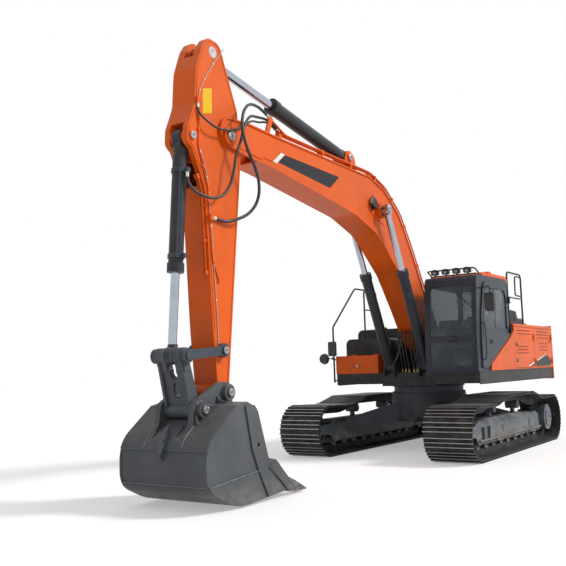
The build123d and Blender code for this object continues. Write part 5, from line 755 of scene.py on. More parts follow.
def make_undercarriage_fittings():
    """Final drives' covers with their bolts and plugs, and the bearing bolts of the idlers."""
    covers, bolts = Heap(), Heap()
    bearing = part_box("track_frame_left")[1].y
    for left in (-1, 1):
        out = left * ACROSS
        hub = on(MACHINE, -TUMBLER[0], left * HUB_FACE, TUMBLER[1])
        turned_shell(covers, hub, out, ((0.188, -0.01), (0.188, 0.006), (0.182, 0.010), (0.120, 0.012), (0.112, 0.020),
                                        (0.040, 0.022), (0.036, 0.014)), 40)
        bolt_ring(bolts, hub + 0.009 * out, out, 0.156, 12, 0.026, 0.13)
        for a in (0.9, 2.6, 4.3):
            spot = hub + 0.078 * np.array([math.cos(a), 0.0, math.sin(a)]) + 0.021 * out
            bolt(bolts, spot, out, 0.030)
        for x in (-0.082, 0.068):
            for z in (-0.050, 0.050):
                spot = np.array([SLEW_X + TUMBLER[0] + x, left * bearing, TUMBLER[1] + z])
                bolt(bolts, spot, out, 0.026)
    covers.make("final_drive_covers", "undercarriage", FRAME_PAINT, "frame_paint")
    bolts.make("undercarriage_bolts", "undercarriage", BOLT_STEEL)


make_undercarriage_fittings()


# Shoes

SHOE_HALF = 0.400           # half a shoe's width
CREST = 0.014               # width of a grouser's crest
CREST_RIDGE = ((-0.0082, -0.006), (-0.0072, 0.0004), (0.0, 0.0013), (0.0072, 0.0004), (0.0082, -0.006))
SHOE_BOLTS = (-0.124, -0.052, 0.052, 0.124)
BOLTED_GAP = (0.066, 0.0745)    # between the two crests of a shoe that its bolts stand between


def shoe_edges(node, side_y):
    """Distinct (x, z) points of the band of shoes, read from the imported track's outer face."""
    mesh = frame["nodes"][node].data
    points = np.zeros(len(mesh.vertices) * 3)
    mesh.vertices.foreach_get("co", points)
    points = points.reshape(-1, 3)
    points = points[np.abs(points[:, 1] - side_y) < 1e-4][:, (0, 2)]
    return np.unique(np.round(points, 5), axis=0)


def crest_pairs(points):
    """Pairs of points as far apart as the two edges of a grouser's crest."""
    apart = np.linalg.norm(points[:, None] - points[None], axis=2)
    first, second = np.nonzero(np.triu(np.abs(apart - CREST) < 0.0004, 1))
    return points[first], points[second]


def make_shoe_crests():
    """Rubbed edges of the grousers: on each crest a low ridge of bare steel, bowed a little in its middle,
    a millimetre over the shoe, and between the grousers the heads of the shoe's bolts."""
    for node, middle in (("track_left", TRACK_MIDDLE), ("track_right", -TRACK_MIDDLE)):
        first, second = crest_pairs(shoe_edges(node, middle + SHOE_HALF))
        centre = (first + second) / 2
        along = unit(second - first)
        out = np.stack([-along[:, 1], along[:, 0]], axis=1)
        inner = np.stack([np.clip(centre[:, 0], SLEW_X - TUMBLER[0], SLEW_X + TUMBLER[0]),
                          0 * centre[:, 0] + 0.48], axis=1)
        out *= np.sign(np.sum(out * (centre - inner), axis=1))[:, None]
        heap = Heap()
        for here, ahead, up in zip(centre, along, out):
            rows = []
            for y in (0.0005 - SHOE_HALF, SHOE_HALF - 0.0005):
                flat = np.array([here + a * ahead + b * up for a, b in CREST_RIDGE])
                rows.append(np.stack([flat[:, 0], np.full(len(flat), middle + y), flat[:, 1]], axis=-1))
            heap.grid(np.array(rows), ring=True, lids=True)
        heap.make(node.replace("track", "grouser_crests"), "undercarriage", RUBBED_STEEL, "track_steel")

        bolts = Heap()
        gaps = np.linalg.norm(centre[:, None] - centre[None], axis=2)
        for a, b in np.argwhere(np.triu((gaps > BOLTED_GAP[0]) & (gaps < BOLTED_GAP[1]), 1)):
            spot, up = (centre[a] + centre[b]) / 2, unit(out[a] + out[b])
            foot = spot - 0.028 * up
            for y in SHOE_BOLTS:
                turned_shell(bolts, (foot[0], middle + y, foot[1]), (up[0], 0.0, up[1]),
                             ((0.0135, -0.002), (0.0135, 0.009), (0.009, 0.011)), 6)
        bolts.make(node.replace("track", "shoe_bolts"), "undercarriage", TRACK_STEEL, "track_steel")


make_shoe_crests()


# Cab

CAB_MIDDLE = 1.000
CAB_FRONT = 1.270
CAB_BEND = 1.900            # height at which the front starts to lean back
CAB_LEAN = 0.0909           # by this much a metre
LAMP_FOOT = 3.028           # height of the roof lamps' feet
ROOF_LAMPS = (0.682, 0.878, 1.074, 1.270)


def cab_front(u, v, h):
    """Front of the cab: u to the left of its middle, v the height from the ground, h ahead of the wall."""
    return on(MACHINE, CAB_FRONT - np.maximum(v - CAB_BEND, 0.0) * CAB_LEAN + h, CAB_MIDDLE + u, v)


DOOR_WINDOW = ((-0.235, 2.110, 0.06), (-0.235, 2.850, 0.19), (0.850, 2.840, 0.15), (0.985, 2.350, 0.4),
               (1.005, 2.110, 0.06))
SIDE_FACE = 1.490           # outer face of the door
SCREENS = (((-0.397, 1.470), (0.397, 1.915)), ((-0.397, 1.985), (0.397, 2.870)))
SEAL = (0.016, -0.004, 0.004)       # width, foot and top of the rubber round a pane


def make_cab_trim():
    """Rubber seals round the panes, the wiper with its motor and blade, door seal and grab bar."""
    seals = Heap()
    for (u0, v0), (u1, v1) in SCREENS:
        band(seals, cab_front, oblong(u0, v0, u1, v1, 0.045), *SEAL, 6)
    seals.make("windscreen_seals", "upper_works", HOSE_RUBBER)
    door_seals = Heap()
    band(door_seals, flat_on(MACHINE, SIDE_FACE), DOOR_WINDOW, *SEAL, 6)
    door_seals.make("door_seal", "cab_door", HOSE_RUBBER)

    wiper = Heap()
    motor = cab_front(0.02, 1.950, 0.0)
    plate(wiper, cab_front, oblong(-0.075, 1.925, 0.105, 1.975, 0.02), 0.0, 0.045, 0.008)
    turned_shell(wiper, motor, (1.0, 0.0, 0.0), ((0.022, 0.03), (0.022, 0.060), (0.014, 0.066)), 16)
    share = np.linspace(0.0, 1.0, 14)
    tube(wiper, cab_front(0.02 + 0.26 * share, 1.950 + 0.62 * share, 0.058 - 0.03 * share), 0.0065, 8)
    tube(wiper, cab_front(0.28 - 0.30 * share + 0.15, 2.570 + (share - 0.5) * 0.30, 0.014), 0.008, 8)
    wiper.make("wiper", "upper_works", DARK_PLASTIC)

    door = Heap()
    turn = np.linspace(0.0, math.pi, 40)
    bow = 0.055 * np.sin(turn) ** 0.35
    tube(door, on(MACHINE, 1.045 + 0 * turn, SIDE_FACE - 0.004 + bow, 1.900 - 0.31 * np.cos(turn)), 0.011, 10)
    door.make("door_grab_bar", "cab_door", DARK_PLASTIC)


make_cab_trim()


def cushion(u_half, v_half, rise, power=3.0, channels=0, deep=0.012, steps=26):
    """Closed pad over a square: its height is the product of one minus |u| and |v| to a power, sewn
    channels sink it along v, and its lower half is a shallow copy of the upper."""
    u = np.sin(np.linspace(-math.pi / 2, math.pi / 2, steps))
    uu, vv = np.meshgrid(u, u, indexing="ij")
    crown = ((1 - np.abs(uu) ** power) * (1 - np.abs(vv) ** power)) ** 0.45
    sewn = deep * np.exp(-(((vv * (channels + 1) / 2 + 0.5) % 1.0 - 0.5) / 0.10) ** 2) if channels else 0.0
    pull = 1 - 0.05 * (1 - np.abs(uu * vv))
    top = rise * crown - sewn * crown
    return uu * u_half * pull, vv * v_half * pull, top


def make_seat():
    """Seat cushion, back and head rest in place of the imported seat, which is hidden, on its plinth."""
    lowest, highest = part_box("seat")
    heap = Heap()
    middle = (lowest.y + highest.y) / 2
    pads = (
        # foot x, z, slope of the pad, half length, half width, thickness, channels
        (0.210, 1.790, 4.0, 0.245, 0.245, 0.085, 3),
        (-0.095, 2.110, 98.0, 0.285, 0.225, 0.070, 3),
        (-0.165, 2.475, 95.0, 0.095, 0.125, 0.055, 0),
    )
    for x, z, slope, half, wide, thick, channels in pads:
        u, v, top = cushion(half, wide, thick, channels=channels)
        pad = lean((x, z), slope)
        sign = 1 if slope < 45 else -1
        for side in (1.0, -0.8):
            heap.grid(on(pad, u, middle + v, sign * side * top))
    piece = heap.make("seat_cushions", "upper_works", SEAT_CLOTH, "seat_fabric", sharp=70)
    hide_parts("seat")
    base = Heap()
    plate(base, level_at(0.210, middle, 1.445), oblong(-0.16, -0.19, 0.16, 0.19, 0.03), 0.0, 0.20, 0.02)
    for k in range(4):
        z = 1.645 + k * 0.022
        plate(base, level_at(0.210, middle, z), oblong(-0.15, -0.18, 0.15, 0.18, 0.04), 0.0, 0.018, 0.006)
    base.make("seat_plinth", "upper_works", DARK_PLASTIC)


make_seat()


def make_lamps():
    """Lenses, reflectors and bezels of the roof lamps, the boom lamp and the lamp in the tool box's step."""
    glass, bowls, rims = Heap(), Heap(), Heap()
    ahead = np.array([1.0, 0.0, 0.0])
    for y in ROOF_LAMPS:
        centre = on(MACHINE, 1.055, y, LAMP_FOOT + 0.094)
        turned_shell(bowls, centre, ahead, ((0.010, -0.008), (0.028, 0.006), (0.031, 0.0015), (0.012, -0.010)), 24)
        turned_shell(glass, centre, ahead, ((0.050, 0.0005), (0.050, 0.006), (0.030, 0.011), (0.004, 0.0125)), 24)
        turned_shell(rims, centre, ahead, ((0.049, 0.0), (0.054, 0.001), (0.054, 0.009), (0.049, 0.010)), 24)
    recess = on(MACHINE, 0.862, -1.035, 1.545)
    turned_shell(glass, recess, ahead, ((0.034, -0.002), (0.034, 0.004), (0.016, 0.008), (0.003, 0.009)), 24)
    glass.make("lamp_lenses", "upper_works", LAMP_LENS, "lamp")
    bowls.make("lamp_bowls", "upper_works", REFLECTOR)
    rims.make("lamp_rims", "upper_works", LAMP_SHELL)

    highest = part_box("boom_lamp")[1]
    glass, rims = Heap(), Heap()
    face = lean(reach(BOOM, 2.965, 1.225), 22.3)
    for heap, rows in ((glass, (((0.055, 0.045), 0.0), ((0.055, 0.045), 0.010), ((0.040, 0.030), 0.016))),
                       (rims, (((0.064, 0.054), -0.03), ((0.066, 0.056), 0.008), ((0.056, 0.046), 0.010)))):
        rings = []
        for (half_u, half_v), h in rows:
            rim = rounded(oblong(-half_u, -half_v, half_u, half_v, 0.02))
            rings.append(on(face, h - 0.016, highest.y - 0.028 + rim[:, 0] * 0.45, rim[:, 1] * 1.25))
        heap.grid(np.array(rings), ring=True, lids=True)
    glass.make("boom_lamp_lens", "boom", LAMP_LENS, "lamp")
    rims.make("boom_lamp_rim", "boom", LAMP_SHELL)


make_lamps()


def make_mirror_faces():
    """Slightly bowed reflecting faces, set in the backs of the three mirrors."""
    heap = Heap()
    for y, z, half_u, half_v in ((-1.521, 1.880, 0.070, 0.128), (1.700, 2.540, 0.075, 0.148)):
        x = 0.909 if y < 0 else 1.199
        plate(heap, lambda u, v, h, x=x, y=y, z=z: on(MACHINE, x - h, y + u, z + v),
              oblong(-half_u, -half_v, half_u, half_v, 0.03), -0.002, 0.004, 0.002)
    turned_shell(heap, on(MACHINE, 0.909, -1.710, 1.695), (-1.0, 0.0, 0.0), (
        (0.096, -0.002), (0.096, 0.002), (0.060, 0.006), (0.010, 0.008)), 32)
    heap.make("mirror_faces", "upper_works", MIRROR_FACE)


make_mirror_faces()


# Blank signs on the boom and the arm: name, frame, face, corners, finish and body

FILM = (-0.0004, 0.0008, 0.0003)    # foot, top and turned edge of a film on paint
FILMS = (
    ("boom_sign_field", BOOM, 0.2095, ((5.450, 0.319, 0.0), (5.357, 0.348, 0.0), (4.121, 0.735, 0.012),
                                       (3.939, 1.052, 0.012), (5.336, 0.513, 0.012)), DARK_FILM, "boom"),
    ("boom_sign_stroke", BOOM, 0.2100, ((5.560, 0.262, 0.004), (5.470, 0.285, 0.004), (5.345, 0.517, 0.004),
                                        (5.430, 0.487, 0.004)), WHITE_FILM, "boom"),
    ("arm_sign", ARM, 0.1803, ((-0.470, 0.487, 0.015), (-0.533, 0.317, 0.015), (-0.212, 0.303, 0.015),
                               (-0.154, 0.473, 0.015)), YELLOW_FILM, "arm"),
)


def make_films():
    """Thin films with rounded corners, most of a millimetre proud of the paint, the same on both sides."""
    for name, frame_of, face, corners, finish, body in FILMS:
        heap = Heap()
        for left in (-1, 1):
            plate(heap, flat_on(frame_of, left * face, left), corners, *FILM)
        heap.make(name, body, finish)


make_films()


def struck(node, start, heading):
    """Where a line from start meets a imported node, and the node's normal there; None and None if it doesn't."""
    hit, point, normal, _ = frame["nodes"][node].ray_cast(Vector(start), Vector(heading))
    return (np.array(point), np.array(normal)) if hit else (None, None)


def met(node, x, y, z, heading):
    """The same from (x, y, z) of the machine, where the line has to meet the node."""
    point, normal = struck(node, on(MACHINE, x, y, z), heading)
    if point is None:
        raise ValueError(f"no {node} on the line from {x}, {y}, {z}")
    return point, normal


# Hoses behind the boom's foot: y on the boom and on the deck

FOOT_HOSES = ((0.138, 0.100), (0.174, 0.140), (0.208, 0.180), (-0.156, -0.120), (-0.194, -0.170))
FOOT_DIAMETER = 0.034
DECK = 1.4005               # height of the fittings on the main frame's deck


def make_foot_hoses():
    """Five hoses from the pipes on the boom's back down to the deck beside the boom's foot."""
    turning = (on(MACHINE, -0.30, 0.0, 1.60), on(BOOM, 0.45, 0.0, 0.72))
    for number, (high_y, low_y) in enumerate(FOOT_HOSES):
        wave = 0.012 * math.sin(2.3 * number)
        line = smooth_line(np.concatenate([
            on(BOOM, [0.500, 0.380], [high_y, high_y], [0.750, 0.655]),
            on(MACHINE, [0.080, -0.170, -0.330 + wave, -0.385 + wave, -0.380],
               [high_y, (high_y + low_y) / 2, low_y, low_y, low_y], [2.420, 2.060, 1.760, 1.560, DECK])]))
        name = f"foot_hose_{number + 1}"
        make_hose(name, line, FOOT_DIAMETER, 12, turning, (
            (name + "_upper_nut", "boom", ZINC, NUT), (name + "_lower_nut", "upper_works", BRASS, NUT)))


make_foot_hoses()


# Weld beads

def bead(heap, line, out, size):
    """Fillet weld along a line: half a rope of overlapping drops, its radius waving as it was laid."""
    line = np.asarray(line, float)
    steps = np.concatenate([[0.0], np.cumsum(np.linalg.norm(np.diff(line, axis=0), axis=1))])
    places = np.arange(0.0, steps[-1], size * 1.1)
    if len(places) < 4:
        return
    drops = np.stack([np.interp(places, steps, line[:, k]) for k in range(3)], axis=-1)
    tube(heap, drops + 0.15 * size * unit(out), size * (0.5 + 0.09 * (np.arange(len(drops)) % 2)), 6)


def runs(points, least, joined):
    """Runs of more than least neighbours, cut at every None and where joined says no of a point and its next."""
    run = []
    for point in [*points, None]:
        if point is not None and (not run or joined(run[-1], point)):
            run.append(point)
            continue
        if len(run) > least:
            yield run
        run = [] if point is None else [point]


BOOM_OUTLINE = (
    (-0.175, -0.060, 0.150), (-0.130, 0.200, 0.150), (0.545, 0.690, 0.200), (1.365, 1.235, 0.500),
    (1.900, 1.545, 0.700), (2.520, 1.680, 0.500), (3.070, 1.625, 0.500), (5.640, 0.625, 0.400),
    (6.200, 0.420, 0.200), (6.695, 0.185, 0.188), (6.695, -0.190, 0.188), (6.020, 0.010, 0.500),
    (5.494, 0.175, 0.400), (3.320, 0.745, 0.900), (2.560, 0.810, 0.700), (1.600, 0.560, 0.600),
    (0.900, 0.190, 0.500), (0.480, -0.060, 0.300), (0.150, -0.215, 0.170), (-0.150, -0.190, 0.120))
ARM_OUTLINE = (
    (-1.163, 0.195, 0.140), (-0.390, -0.205, 0.300), (0.300, -0.297, 0.600), (3.100, -0.166, 0.060),
    (3.190, -0.100, 0.0), (3.190, 0.036, 0.0), (2.440, 0.166, 0.800), (0.760, 0.392, 0.300),
    (0.330, 0.640, 0.060), (0.270, 0.738, 0.084), (0.080, 0.738, 0.084), (-0.120, 0.668, 0.200),
    (-0.250, 0.630, 0.100), (-0.680, 0.628, 0.400), (-1.010, 0.530, 0.200), (-1.163, 0.440, 0.120))


def kept_corners(corners):
    """Corners with each radius turned into its run along the sides for rounded(): radius / tan(half angle)."""
    corners = np.array(corners, float)
    here = corners[:, :2]
    back, ahead = unit(np.roll(here, 1, axis=0) - here), unit(np.roll(here, -1, axis=0) - here)
    half = np.arccos(np.clip(np.sum(back * ahead, axis=1), -1.0, 1.0)) / 2
    corners[:, 2] = corners[:, 2] / np.tan(half)
    return corners


def make_welds():
    """Beads where the side plates of the boom and the arm meet their flanges, inside the plates' edges."""
    for node, frame_of, corners in (("boom", BOOM, BOOM_OUTLINE), ("arm", ARM, ARM_OUTLINE)):
        heap = Heap()
        rim = narrowed(rounded(kept_corners(corners), 8), 0.030)
        rim = rim[::-1] if rim[0, 0] > rim[-1, 0] else rim
        for left in (-1, 1):
            points = on(frame_of, rim[:, 0], np.full(len(rim), left * 0.6), rim[:, 1])
            seats = []
            for start in points:
                point, normal = struck(node, start, (0.0, -left, 0.0))
                flat = point is not None and abs(normal[1]) > 0.98 and abs(point[1]) < 0.24
                seats.append(point if flat else None)
            for run in runs(seats, 4, lambda seat, after: abs(after[1] - seat[1]) < 0.004):
                bead(heap, run, left * ACROSS, 0.011)
        heap.make(node + "_welds", node, ORANGE_PAINT, "orange_paint", sharp=80)


make_welds()


# House

LATCHES = {     # of each door: x, z and side
    "rear_left_door": ((-2.86, 1.93, 1), (-1.90, 1.52, 1)),
    "front_left_door": ((-0.70, 1.86, 1), (-0.70, 1.56, 1)),
    "right_door": ((-0.86, 1.80, -1),),
}


def make_house_fittings():
    """Latches with their bezels on the doors, lamps and bolts on the counterweight, the antenna's foot."""
    for door, rows in LATCHES.items():
        bezels, locks = Heap(), Heap()
        for x, z, left in rows:
            seat, _ = met(door, x, left * 2.0, z, (0.0, -left, 0.0))
            place = flat_on(lean((x, z), 0.0), seat[1], left)
            plate(bezels, place, oblong(-0.050, -0.038, 0.050, 0.038, 0.012), -0.003, 0.004, 0.002)
            plate(bezels, place, oblong(-0.036, -0.024, 0.036, 0.008, 0.006), 0.003, 0.010, 0.003)
            turned_shell(locks, place(0.0, 0.020, 0.003), left * ACROSS,
                         ((0.011, 0.0), (0.011, 0.004), (0.008, 0.005), (0.003, 0.003)), 16)
        bezels.make(door + "_latches", door, DARK_PLASTIC)
        locks.make(door + "_locks", door, ZINC)

    lamps, rims, bolts = Heap(), Heap(), Heap()
    behind = (1.0, 0.0, 0.0)
    for left in (-1, 1):
        for y in (1.08, 1.20):
            seat, normal = met("counterweight", -4.2, left * y, 1.80, behind)
            turned_shell(rims, seat, normal, ((0.052, -0.01), (0.052, 0.010), (0.046, 0.012), (0.046, 0.004)), 24)
            turned_shell(lamps, seat, normal, ((0.045, 0.002), (0.045, 0.010), (0.028, 0.017), (0.004, 0.019)), 20)
        seat, normal = met("counterweight", -4.2, left * 0.62, 2.26, behind)
        bolt(bolts, seat, normal, 0.05)
    lamps.make("rear_lamps", "upper_works", RED_LENS)
    rims.make("rear_lamp_rims", "upper_works", LAMP_SHELL)
    bolts.make("counterweight_bolts", "upper_works", BOLT_STEEL)

    mast = Heap()
    seat, _ = met("cab_roof", -0.30, 1.28, 3.6, (0.0, 0.0, -1.0))
    turned_shell(mast, seat, (0.0, 0.0, 1.0), ((0.020, -0.003), (0.020, 0.012), (0.012, 0.030), (0.006, 0.045),
                                               (0.0035, 0.060)), 14)
    mast.make("antenna_foot", "upper_works", DARK_PLASTIC)


make_house_fittings()


# Pads: node, x, y and half sizes

PADS = (("hood", -2.45, 0.62, 0.26, 0.22), ("hood", -1.75, 0.05, 0.30, 0.28), ("hood", -2.45, -0.30, 0.26, 0.26),
        ("tanks", -0.38, -1.02, 0.20, 0.26))
STUD_PITCH = 0.045


def make_pads():
    """Raised non-slip pads with rows of studs on the hood and the tanks."""
    for node, x, y, half_u, half_v in PADS:
        seat, _ = met(node, x, y, 3.4, (0.0, 0.0, -1.0))
        place = level_at(x, y, seat[2])
        pads, studs = Heap(), Heap()
        plate(pads, place, oblong(-half_u, -half_v, half_u, half_v, 0.03), -0.001, 0.004, 0.002)
        for u in np.arange(-half_u + 0.04, half_u - 0.02, STUD_PITCH):
            for v in np.arange(-half_v + 0.04, half_v - 0.02, STUD_PITCH):
                turned_shell(studs, place(u, v, 0.0035), (0.0, 0.0, 1.0), ((0.010, 0.0), (0.007, 0.004)), 6)
        body = "hood" if node == "hood" else "upper_works"
        spot = f"{node}_{round(-x * 100)}_{round(abs(y) * 100)}"
        pads.make("pad_" + spot, body, DARK_PLASTIC)
        studs.make("studs_" + spot, body, WORN_STEEL)


make_pads()


# Blank signs on the left doors: the corners of a dark wedge and of the pale stroke over it

SIDE_SIGNS = (
    ("rear_left_door", ((-1.836, 1.440, 0.004), (-2.870, 1.440, 0.02), (-2.900, 1.535, 0.02),
                        (-2.640, 1.660, 0.02), (-1.836, 1.506, 0.004)),
     ((-1.836, 1.513, 0.002), (-2.640, 1.668, 0.02), (-2.640, 1.694, 0.02), (-1.836, 1.540, 0.002))),
    ("front_left_door", ((-1.480, 1.440, 0.004), (-1.762, 1.440, 0.004), (-1.762, 1.492, 0.004)),
     ((-1.440, 1.440, 0.002), (-1.762, 1.500, 0.002), (-1.762, 1.527, 0.002), (-1.340, 1.446, 0.002))),
)


def make_side_signs():
    """The wedge and its stroke, cut at the doors' gap and laid on the doors' faces."""
    for door, field, stroke in SIDE_SIGNS:
        seat, _ = met(door, field[0][0] - 0.01, 2.0, 1.447, (0.0, -1.0, 0.0))
        for corners, ending, finish in ((field, "_sign", DARK_FILM), (stroke, "_sign_stroke", WHITE_FILM)):
            heap = Heap()
            plate(heap, flat_on(MACHINE, seat[1]), corners, *FILM)
            heap.make(door + ending, door, finish)


make_side_signs()


# Louvres

LOUVRES = {     # of each door: rear and front end, lowest edge, count and side
    "rear_left_door": ((-2.790, -1.950, 1.990, 3, 1), (-2.733, -2.120, 1.750, 3, 1)),
    "front_left_door": ((-1.585, -0.750, 2.050, 2, 1), (-1.418, -0.690, 1.690, 3, 1)),
    "right_door": ((-1.950, -1.050, 1.960, 3, -1), (-1.950, -1.050, 1.700, 3, -1)),
}
LOUVRE_PITCH = 0.062
LIP = ((0.030, 0.0), (0.026, 1.0), (0.014, 1.25), (0.012, 1.05), (0.024, 0.80), (0.030, -0.3))  # height, lean
DOOR_FACE = 1.495
SHADE_SHEET_DEPTH = 0.0158          # of the dark sheet behind the door's face, painted shade of the louvre's opening


def make_louvres():
    """Dark sheet at the bottom of each louvre, painted shade of the opening behind the slats, and a rolled lip over it
    that leans out of the door.
    """
    share = np.linspace(-1.0, 1.0, 9)
    bow = 0.010 * (1 - share ** 8)
    for door, fields in LOUVRES.items():
        shade_sheets, lips = Heap(), Heap()
        for rear, front, low, count, left in fields:
            place = flat_on(MACHINE, left * (DOOR_FACE - SHADE_SHEET_DEPTH), left)
            x = (rear + front) / 2 + share * (front - rear) / 2
            for z in low + LOUVRE_PITCH * np.arange(count):
                # Near-black sheet at the bottom of the louvre: painted shade.
                plate(shade_sheets, place, oblong(rear + 0.003, z + 0.002, front - 0.003, z + 0.028, 0.008),
                      -0.001, 0.0018, 0.0005)
                lips.grid(np.array([on(MACHINE, x, left * (DOOR_FACE + out * bow), z + up) for up, out in LIP]),
                          loop=True)
        shade_sheets.make(door + "_louvre_nets", door, HOSE_RUBBER)
        lips.make(door + "_louvre_lips", door, ORANGE_PAINT, "orange_paint")


make_louvres()


# Hoses before the boom's foot, by their y

DECK_HOSES = (-0.165, -0.105, -0.045, 0.045, 0.105, 0.165)
DECK_DIAMETER = 0.032


def make_deck_hoses():
    """Hoses that stand on the deck before the boom's foot, bow ahead and turn back under the boom's belly."""
    for number, y in enumerate(DECK_HOSES):
        high = 0.02 * math.cos(1.9 * number)
        line = smooth_line(np.concatenate([
            on(MACHINE, [0.700, 0.705, 0.790, 0.830], [y * 1.1, y * 1.1, y, y], [DECK, 1.520, 1.700, 1.860 + high]),
            on(BOOM, [0.640, 0.575, 0.540], [y, y, y], [-0.110, -0.085, -0.041])]))
        name = f"deck_hose_{number + 1}"
        make_hose(name, line, DECK_DIAMETER, 12, (line[4], line[-2]), (
            (name + "_foot_nut", "upper_works", BRASS, NUT), (name + "_head_nut", "boom", BRASS, NUT)))


make_deck_hoses()


# Bucket and its gear

BUCKET_SIDE = 0.672         # y of the welds along the bucket's sides


def laid(heap, node, starts, heading, size, limit=0.05):
    """Bead along the places where lines from the starts meet a node, broken where they jump."""
    ahead = unit(heading)
    points = [struck(node, start, heading)[0] for start in starts]
    for run in runs(points, 3, lambda point, after: abs(np.dot(after - point, ahead)) < limit):
        bead(heap, run, -ahead, size)


def make_bucket_welds():
    """Pale beads along the wear plates, the band over the back and the foot of the ears."""
    heap = Heap()
    for z in (-0.603, -0.990):
        y = np.linspace(-BUCKET_SIDE, BUCKET_SIDE, 60)
        laid(heap, "bucket", on(BUCKET, 1.3, y, z), (-1.0, 0.0, 0.0), 0.011)
    for left in (-1, 1):
        x = np.linspace(-0.10, 0.82, 60)
        laid(heap, "bucket", on(BUCKET, x, left * 1.0, -0.905 - (x + 0.06) * 0.0896), (0.0, -left, 0.0), 0.010, 0.02)
        z = np.linspace(-0.60, -0.98, 40)
        laid(heap, "bucket", on(BUCKET, 1.3, left * BUCKET_SIDE, z), (-1.0, 0.0, 0.0), 0.010)
        x = np.linspace(0.28, 0.84, 50)
        laid(heap, "bucket", on(BUCKET, x, left * 0.278, 0.4), (0.0, 0.0, -1.0), 0.013)
    heap.make("bucket_welds", "bucket", WELD_STEEL, sharp=80)


make_bucket_welds()


# Rod's eye

CURL_EYE = (7.114, 1.719)      # x and z of the bucket rod's eye
CURL_MOUTH = (6.960, 2.900)    # a point up the same rod


def sleeve(heap, x, z, radius, half):
    """Painted eye over a rod's end: a ring with turned edges, hollow where the pin goes."""
    end, edge, skin = half + 0.0012, half - 0.004, radius + 0.0016
    profile = ((radius * 0.62, -end), (radius * 0.97, -end), (skin, -edge),
               (skin, edge), (radius * 0.97, end), (radius * 0.62, end))
    heap.grid(turned(on(MACHINE, x, 0.0, z), ACROSS, profile, 40), ring=True, loop=True)


def make_rod_eye():
    """The bucket rod's painted eye with its neck."""
    heap = Heap()
    sleeve(heap, *CURL_EYE, 0.100, 0.0620)
    foot = on(MACHINE, CURL_EYE[0], 0.0, CURL_EYE[1])
    up = unit(on(MACHINE, CURL_MOUTH[0], 0.0, CURL_MOUTH[1]) - foot)
    turned_shell(heap, foot + 0.088 * up, up, ((0.060, 0.0), (0.0605, 0.034), (0.0500, 0.052), (0.0470, 0.060)), 28)
    heap.make("bucket_rod_eye", "bucket_cylinder_rod", BARREL_PAINT, "slate_paint")


make_rod_eye()


def make_arm_details():
    """Grease lines over the arm's head with their clips and ports, and the raised ribs by the boom's tip."""
    grease, ends = Heap(), Heap()
    runs = (
        ((-1.120, 0.120), (-0.975, 0.236), (-0.720, 0.400), (-0.527, 0.508), (-0.400, 0.560), (-0.285, 0.572)),
        ((0.330, 0.500), (0.520, 0.395), (0.760, 0.330), (1.000, 0.300), (1.080, 0.296)),
        ((1.200, 0.260), (1.520, 0.210), (1.900, 0.160), (2.300, 0.100), (2.620, 0.060)),
    )
    for run in runs:
        x, z = np.array(run).T
        line = smooth_line(on(ARM, x, 0.1875, z))
        tube(grease, line, 0.0055, 8)
        for end, way in ((line[0], line[0] - line[1]), (line[-1], line[-1] - line[-2])):
            turned_shell(ends, end, way, ((0.008, -0.03), (0.0105, -0.028), (0.0105, -0.004), (0.008, 0.0)), 6)
            turned_shell(ends, end - 0.0085 * ACROSS, ACROSS, ((0.016, 0.0), (0.016, 0.010), (0.012, 0.014)), 6)
        for k in range(12, len(line) - 8, 14):
            turned_shell(ends, line[k] - 0.0085 * ACROSS, ACROSS, ((0.013, 0.0), (0.013, 0.012), (0.009, 0.015)), 10)
    grease.make("arm_grease_lines", "arm", GREY_PAINT)
    ends.make("arm_grease_ports", "arm", ZINC)

    ribs = Heap()
    for left in (-1, 1):
        seat, _ = met("boom", 5.9, left * 1.0, on(BOOM, 5.955, 0.0, 0.112)[2], (0.0, -left, 0.0))
        plate(ribs, flat_on(BOOM, seat[1], left), ((5.765, 0.130, 0.028), (6.135, 0.028, 0.028), (6.152, 0.090, 0.028),
                                                   (5.782, 0.192, 0.028)), -0.004, 0.014, 0.006)
    ribs.make("boom_tip_ribs", "boom", ORANGE_PAINT, "orange_paint")


make_arm_details()


HOOD_TOP = 2.309
COVER_RISE = 0.125


def make_hood_cover():
    """Raised cover over the engine, its edges rolled, with seven slats across its rear."""
    cover = Heap()
    place = level_at(-2.080, 0.160, HOOD_TOP)
    plate(cover, place, oblong(-0.62, -0.62, 0.40, 0.88, 0.08), -0.002, COVER_RISE, 0.028, 6)
    for k in range(7):
        u = -0.50 + 0.055 * k
        plate(cover, place, oblong(u, -0.40, u + 0.026, 0.52, 0.012), COVER_RISE - 0.005, COVER_RISE + 0.013, 0.006)
    cover.make("hood_cover", "hood", BLACK_PAINT, "black_paint")


make_hood_cover()


# Floor and light

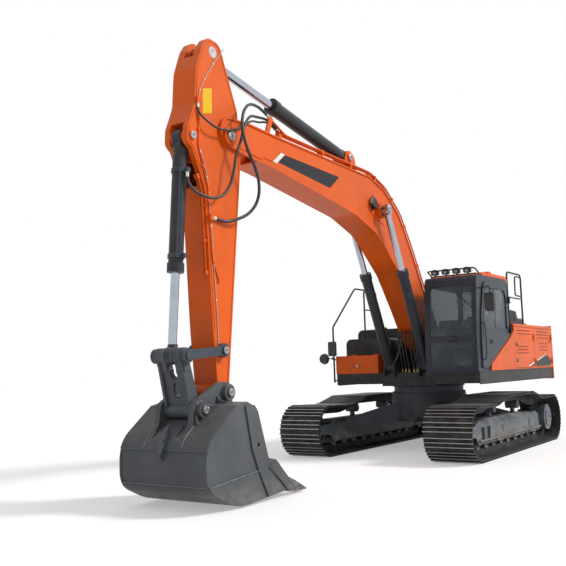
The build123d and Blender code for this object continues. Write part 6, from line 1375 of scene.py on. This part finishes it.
FLOOR_HALF = 60.0
FLOOR_GLOW = 0.36
SKY_LIGHT = 0.50
SUN_STRENGTH = 2.5
SUN_ANGLE = math.radians(12.0)
SUN_FROM = (-0.42, 0.66, 0.62)      # from the machine's left, a little behind and high
SUN_FAR = 12.0


def make_floor():
    """Pale level floor, a grid of quads; it glows a little for the eye alone, so that its far side is white."""
    steps = np.linspace(-FLOOR_HALF, FLOOR_HALF, 7)
    x, y = np.meshgrid(steps, steps, indexing="ij")
    heap = Heap()
    heap.grid(np.stack([x, y, np.zeros_like(x)], axis=-1))
    finish = Finish("floor_paint", Roughness=0.9)
    cloud = finish.noise(0.4, 3.0)
    finish.set(Base_Color=finish.mix(cloud, (0.66, 0.66, 0.66), (0.69, 0.69, 0.69)))
    glow = finish.add("ShaderNodeEmission", {}, Color=(1.0, 1.0, 1.0, 1.0),
                      Strength=finish.rays("Camera", "Glossy") * FLOOR_GLOW)
    both = finish.add("ShaderNodeAddShader", {}, Wire(finish, finish.shader.outputs[0]), glow)
    finish.tree.links.new(both.socket, finish.tree.nodes["Material Output"].inputs["Surface"])
    floor = heap.make("floor", None, finish)


def make_world():
    """Even sky: white for the eye and for mirrors, a soft grey light for everything else."""
    world = bpy.data.worlds.new("studio")
    bpy.context.scene.world = world
    world.use_nodes = True
    background = world.node_tree.nodes["Background"]
    background.inputs["Color"].default_value = (1.0, 1.0, 1.0, 1.0)
    tree = Tree(world.node_tree)
    level = tree.rays("Camera", "Glossy", "Transmission") * (1.0 - SKY_LIGHT) + SKY_LIGHT
    world.node_tree.links.new(level.socket, background.inputs["Strength"])


def make_sun():
    """One broad lamp far away."""
    data = bpy.data.lights.new("sun", "SUN")
    data.energy = SUN_STRENGTH
    data.angle = SUN_ANGLE
    data.color = (1.0, 0.98, 0.95)
    lamp = bpy.data.objects.new("sun", data)
    back = unit(SUN_FROM)
    stand(lamp, *square_to(back), back, SUN_FAR * back)


make_floor()
make_world()
make_sun()
bpy.context.scene.view_settings.view_transform = "Standard"
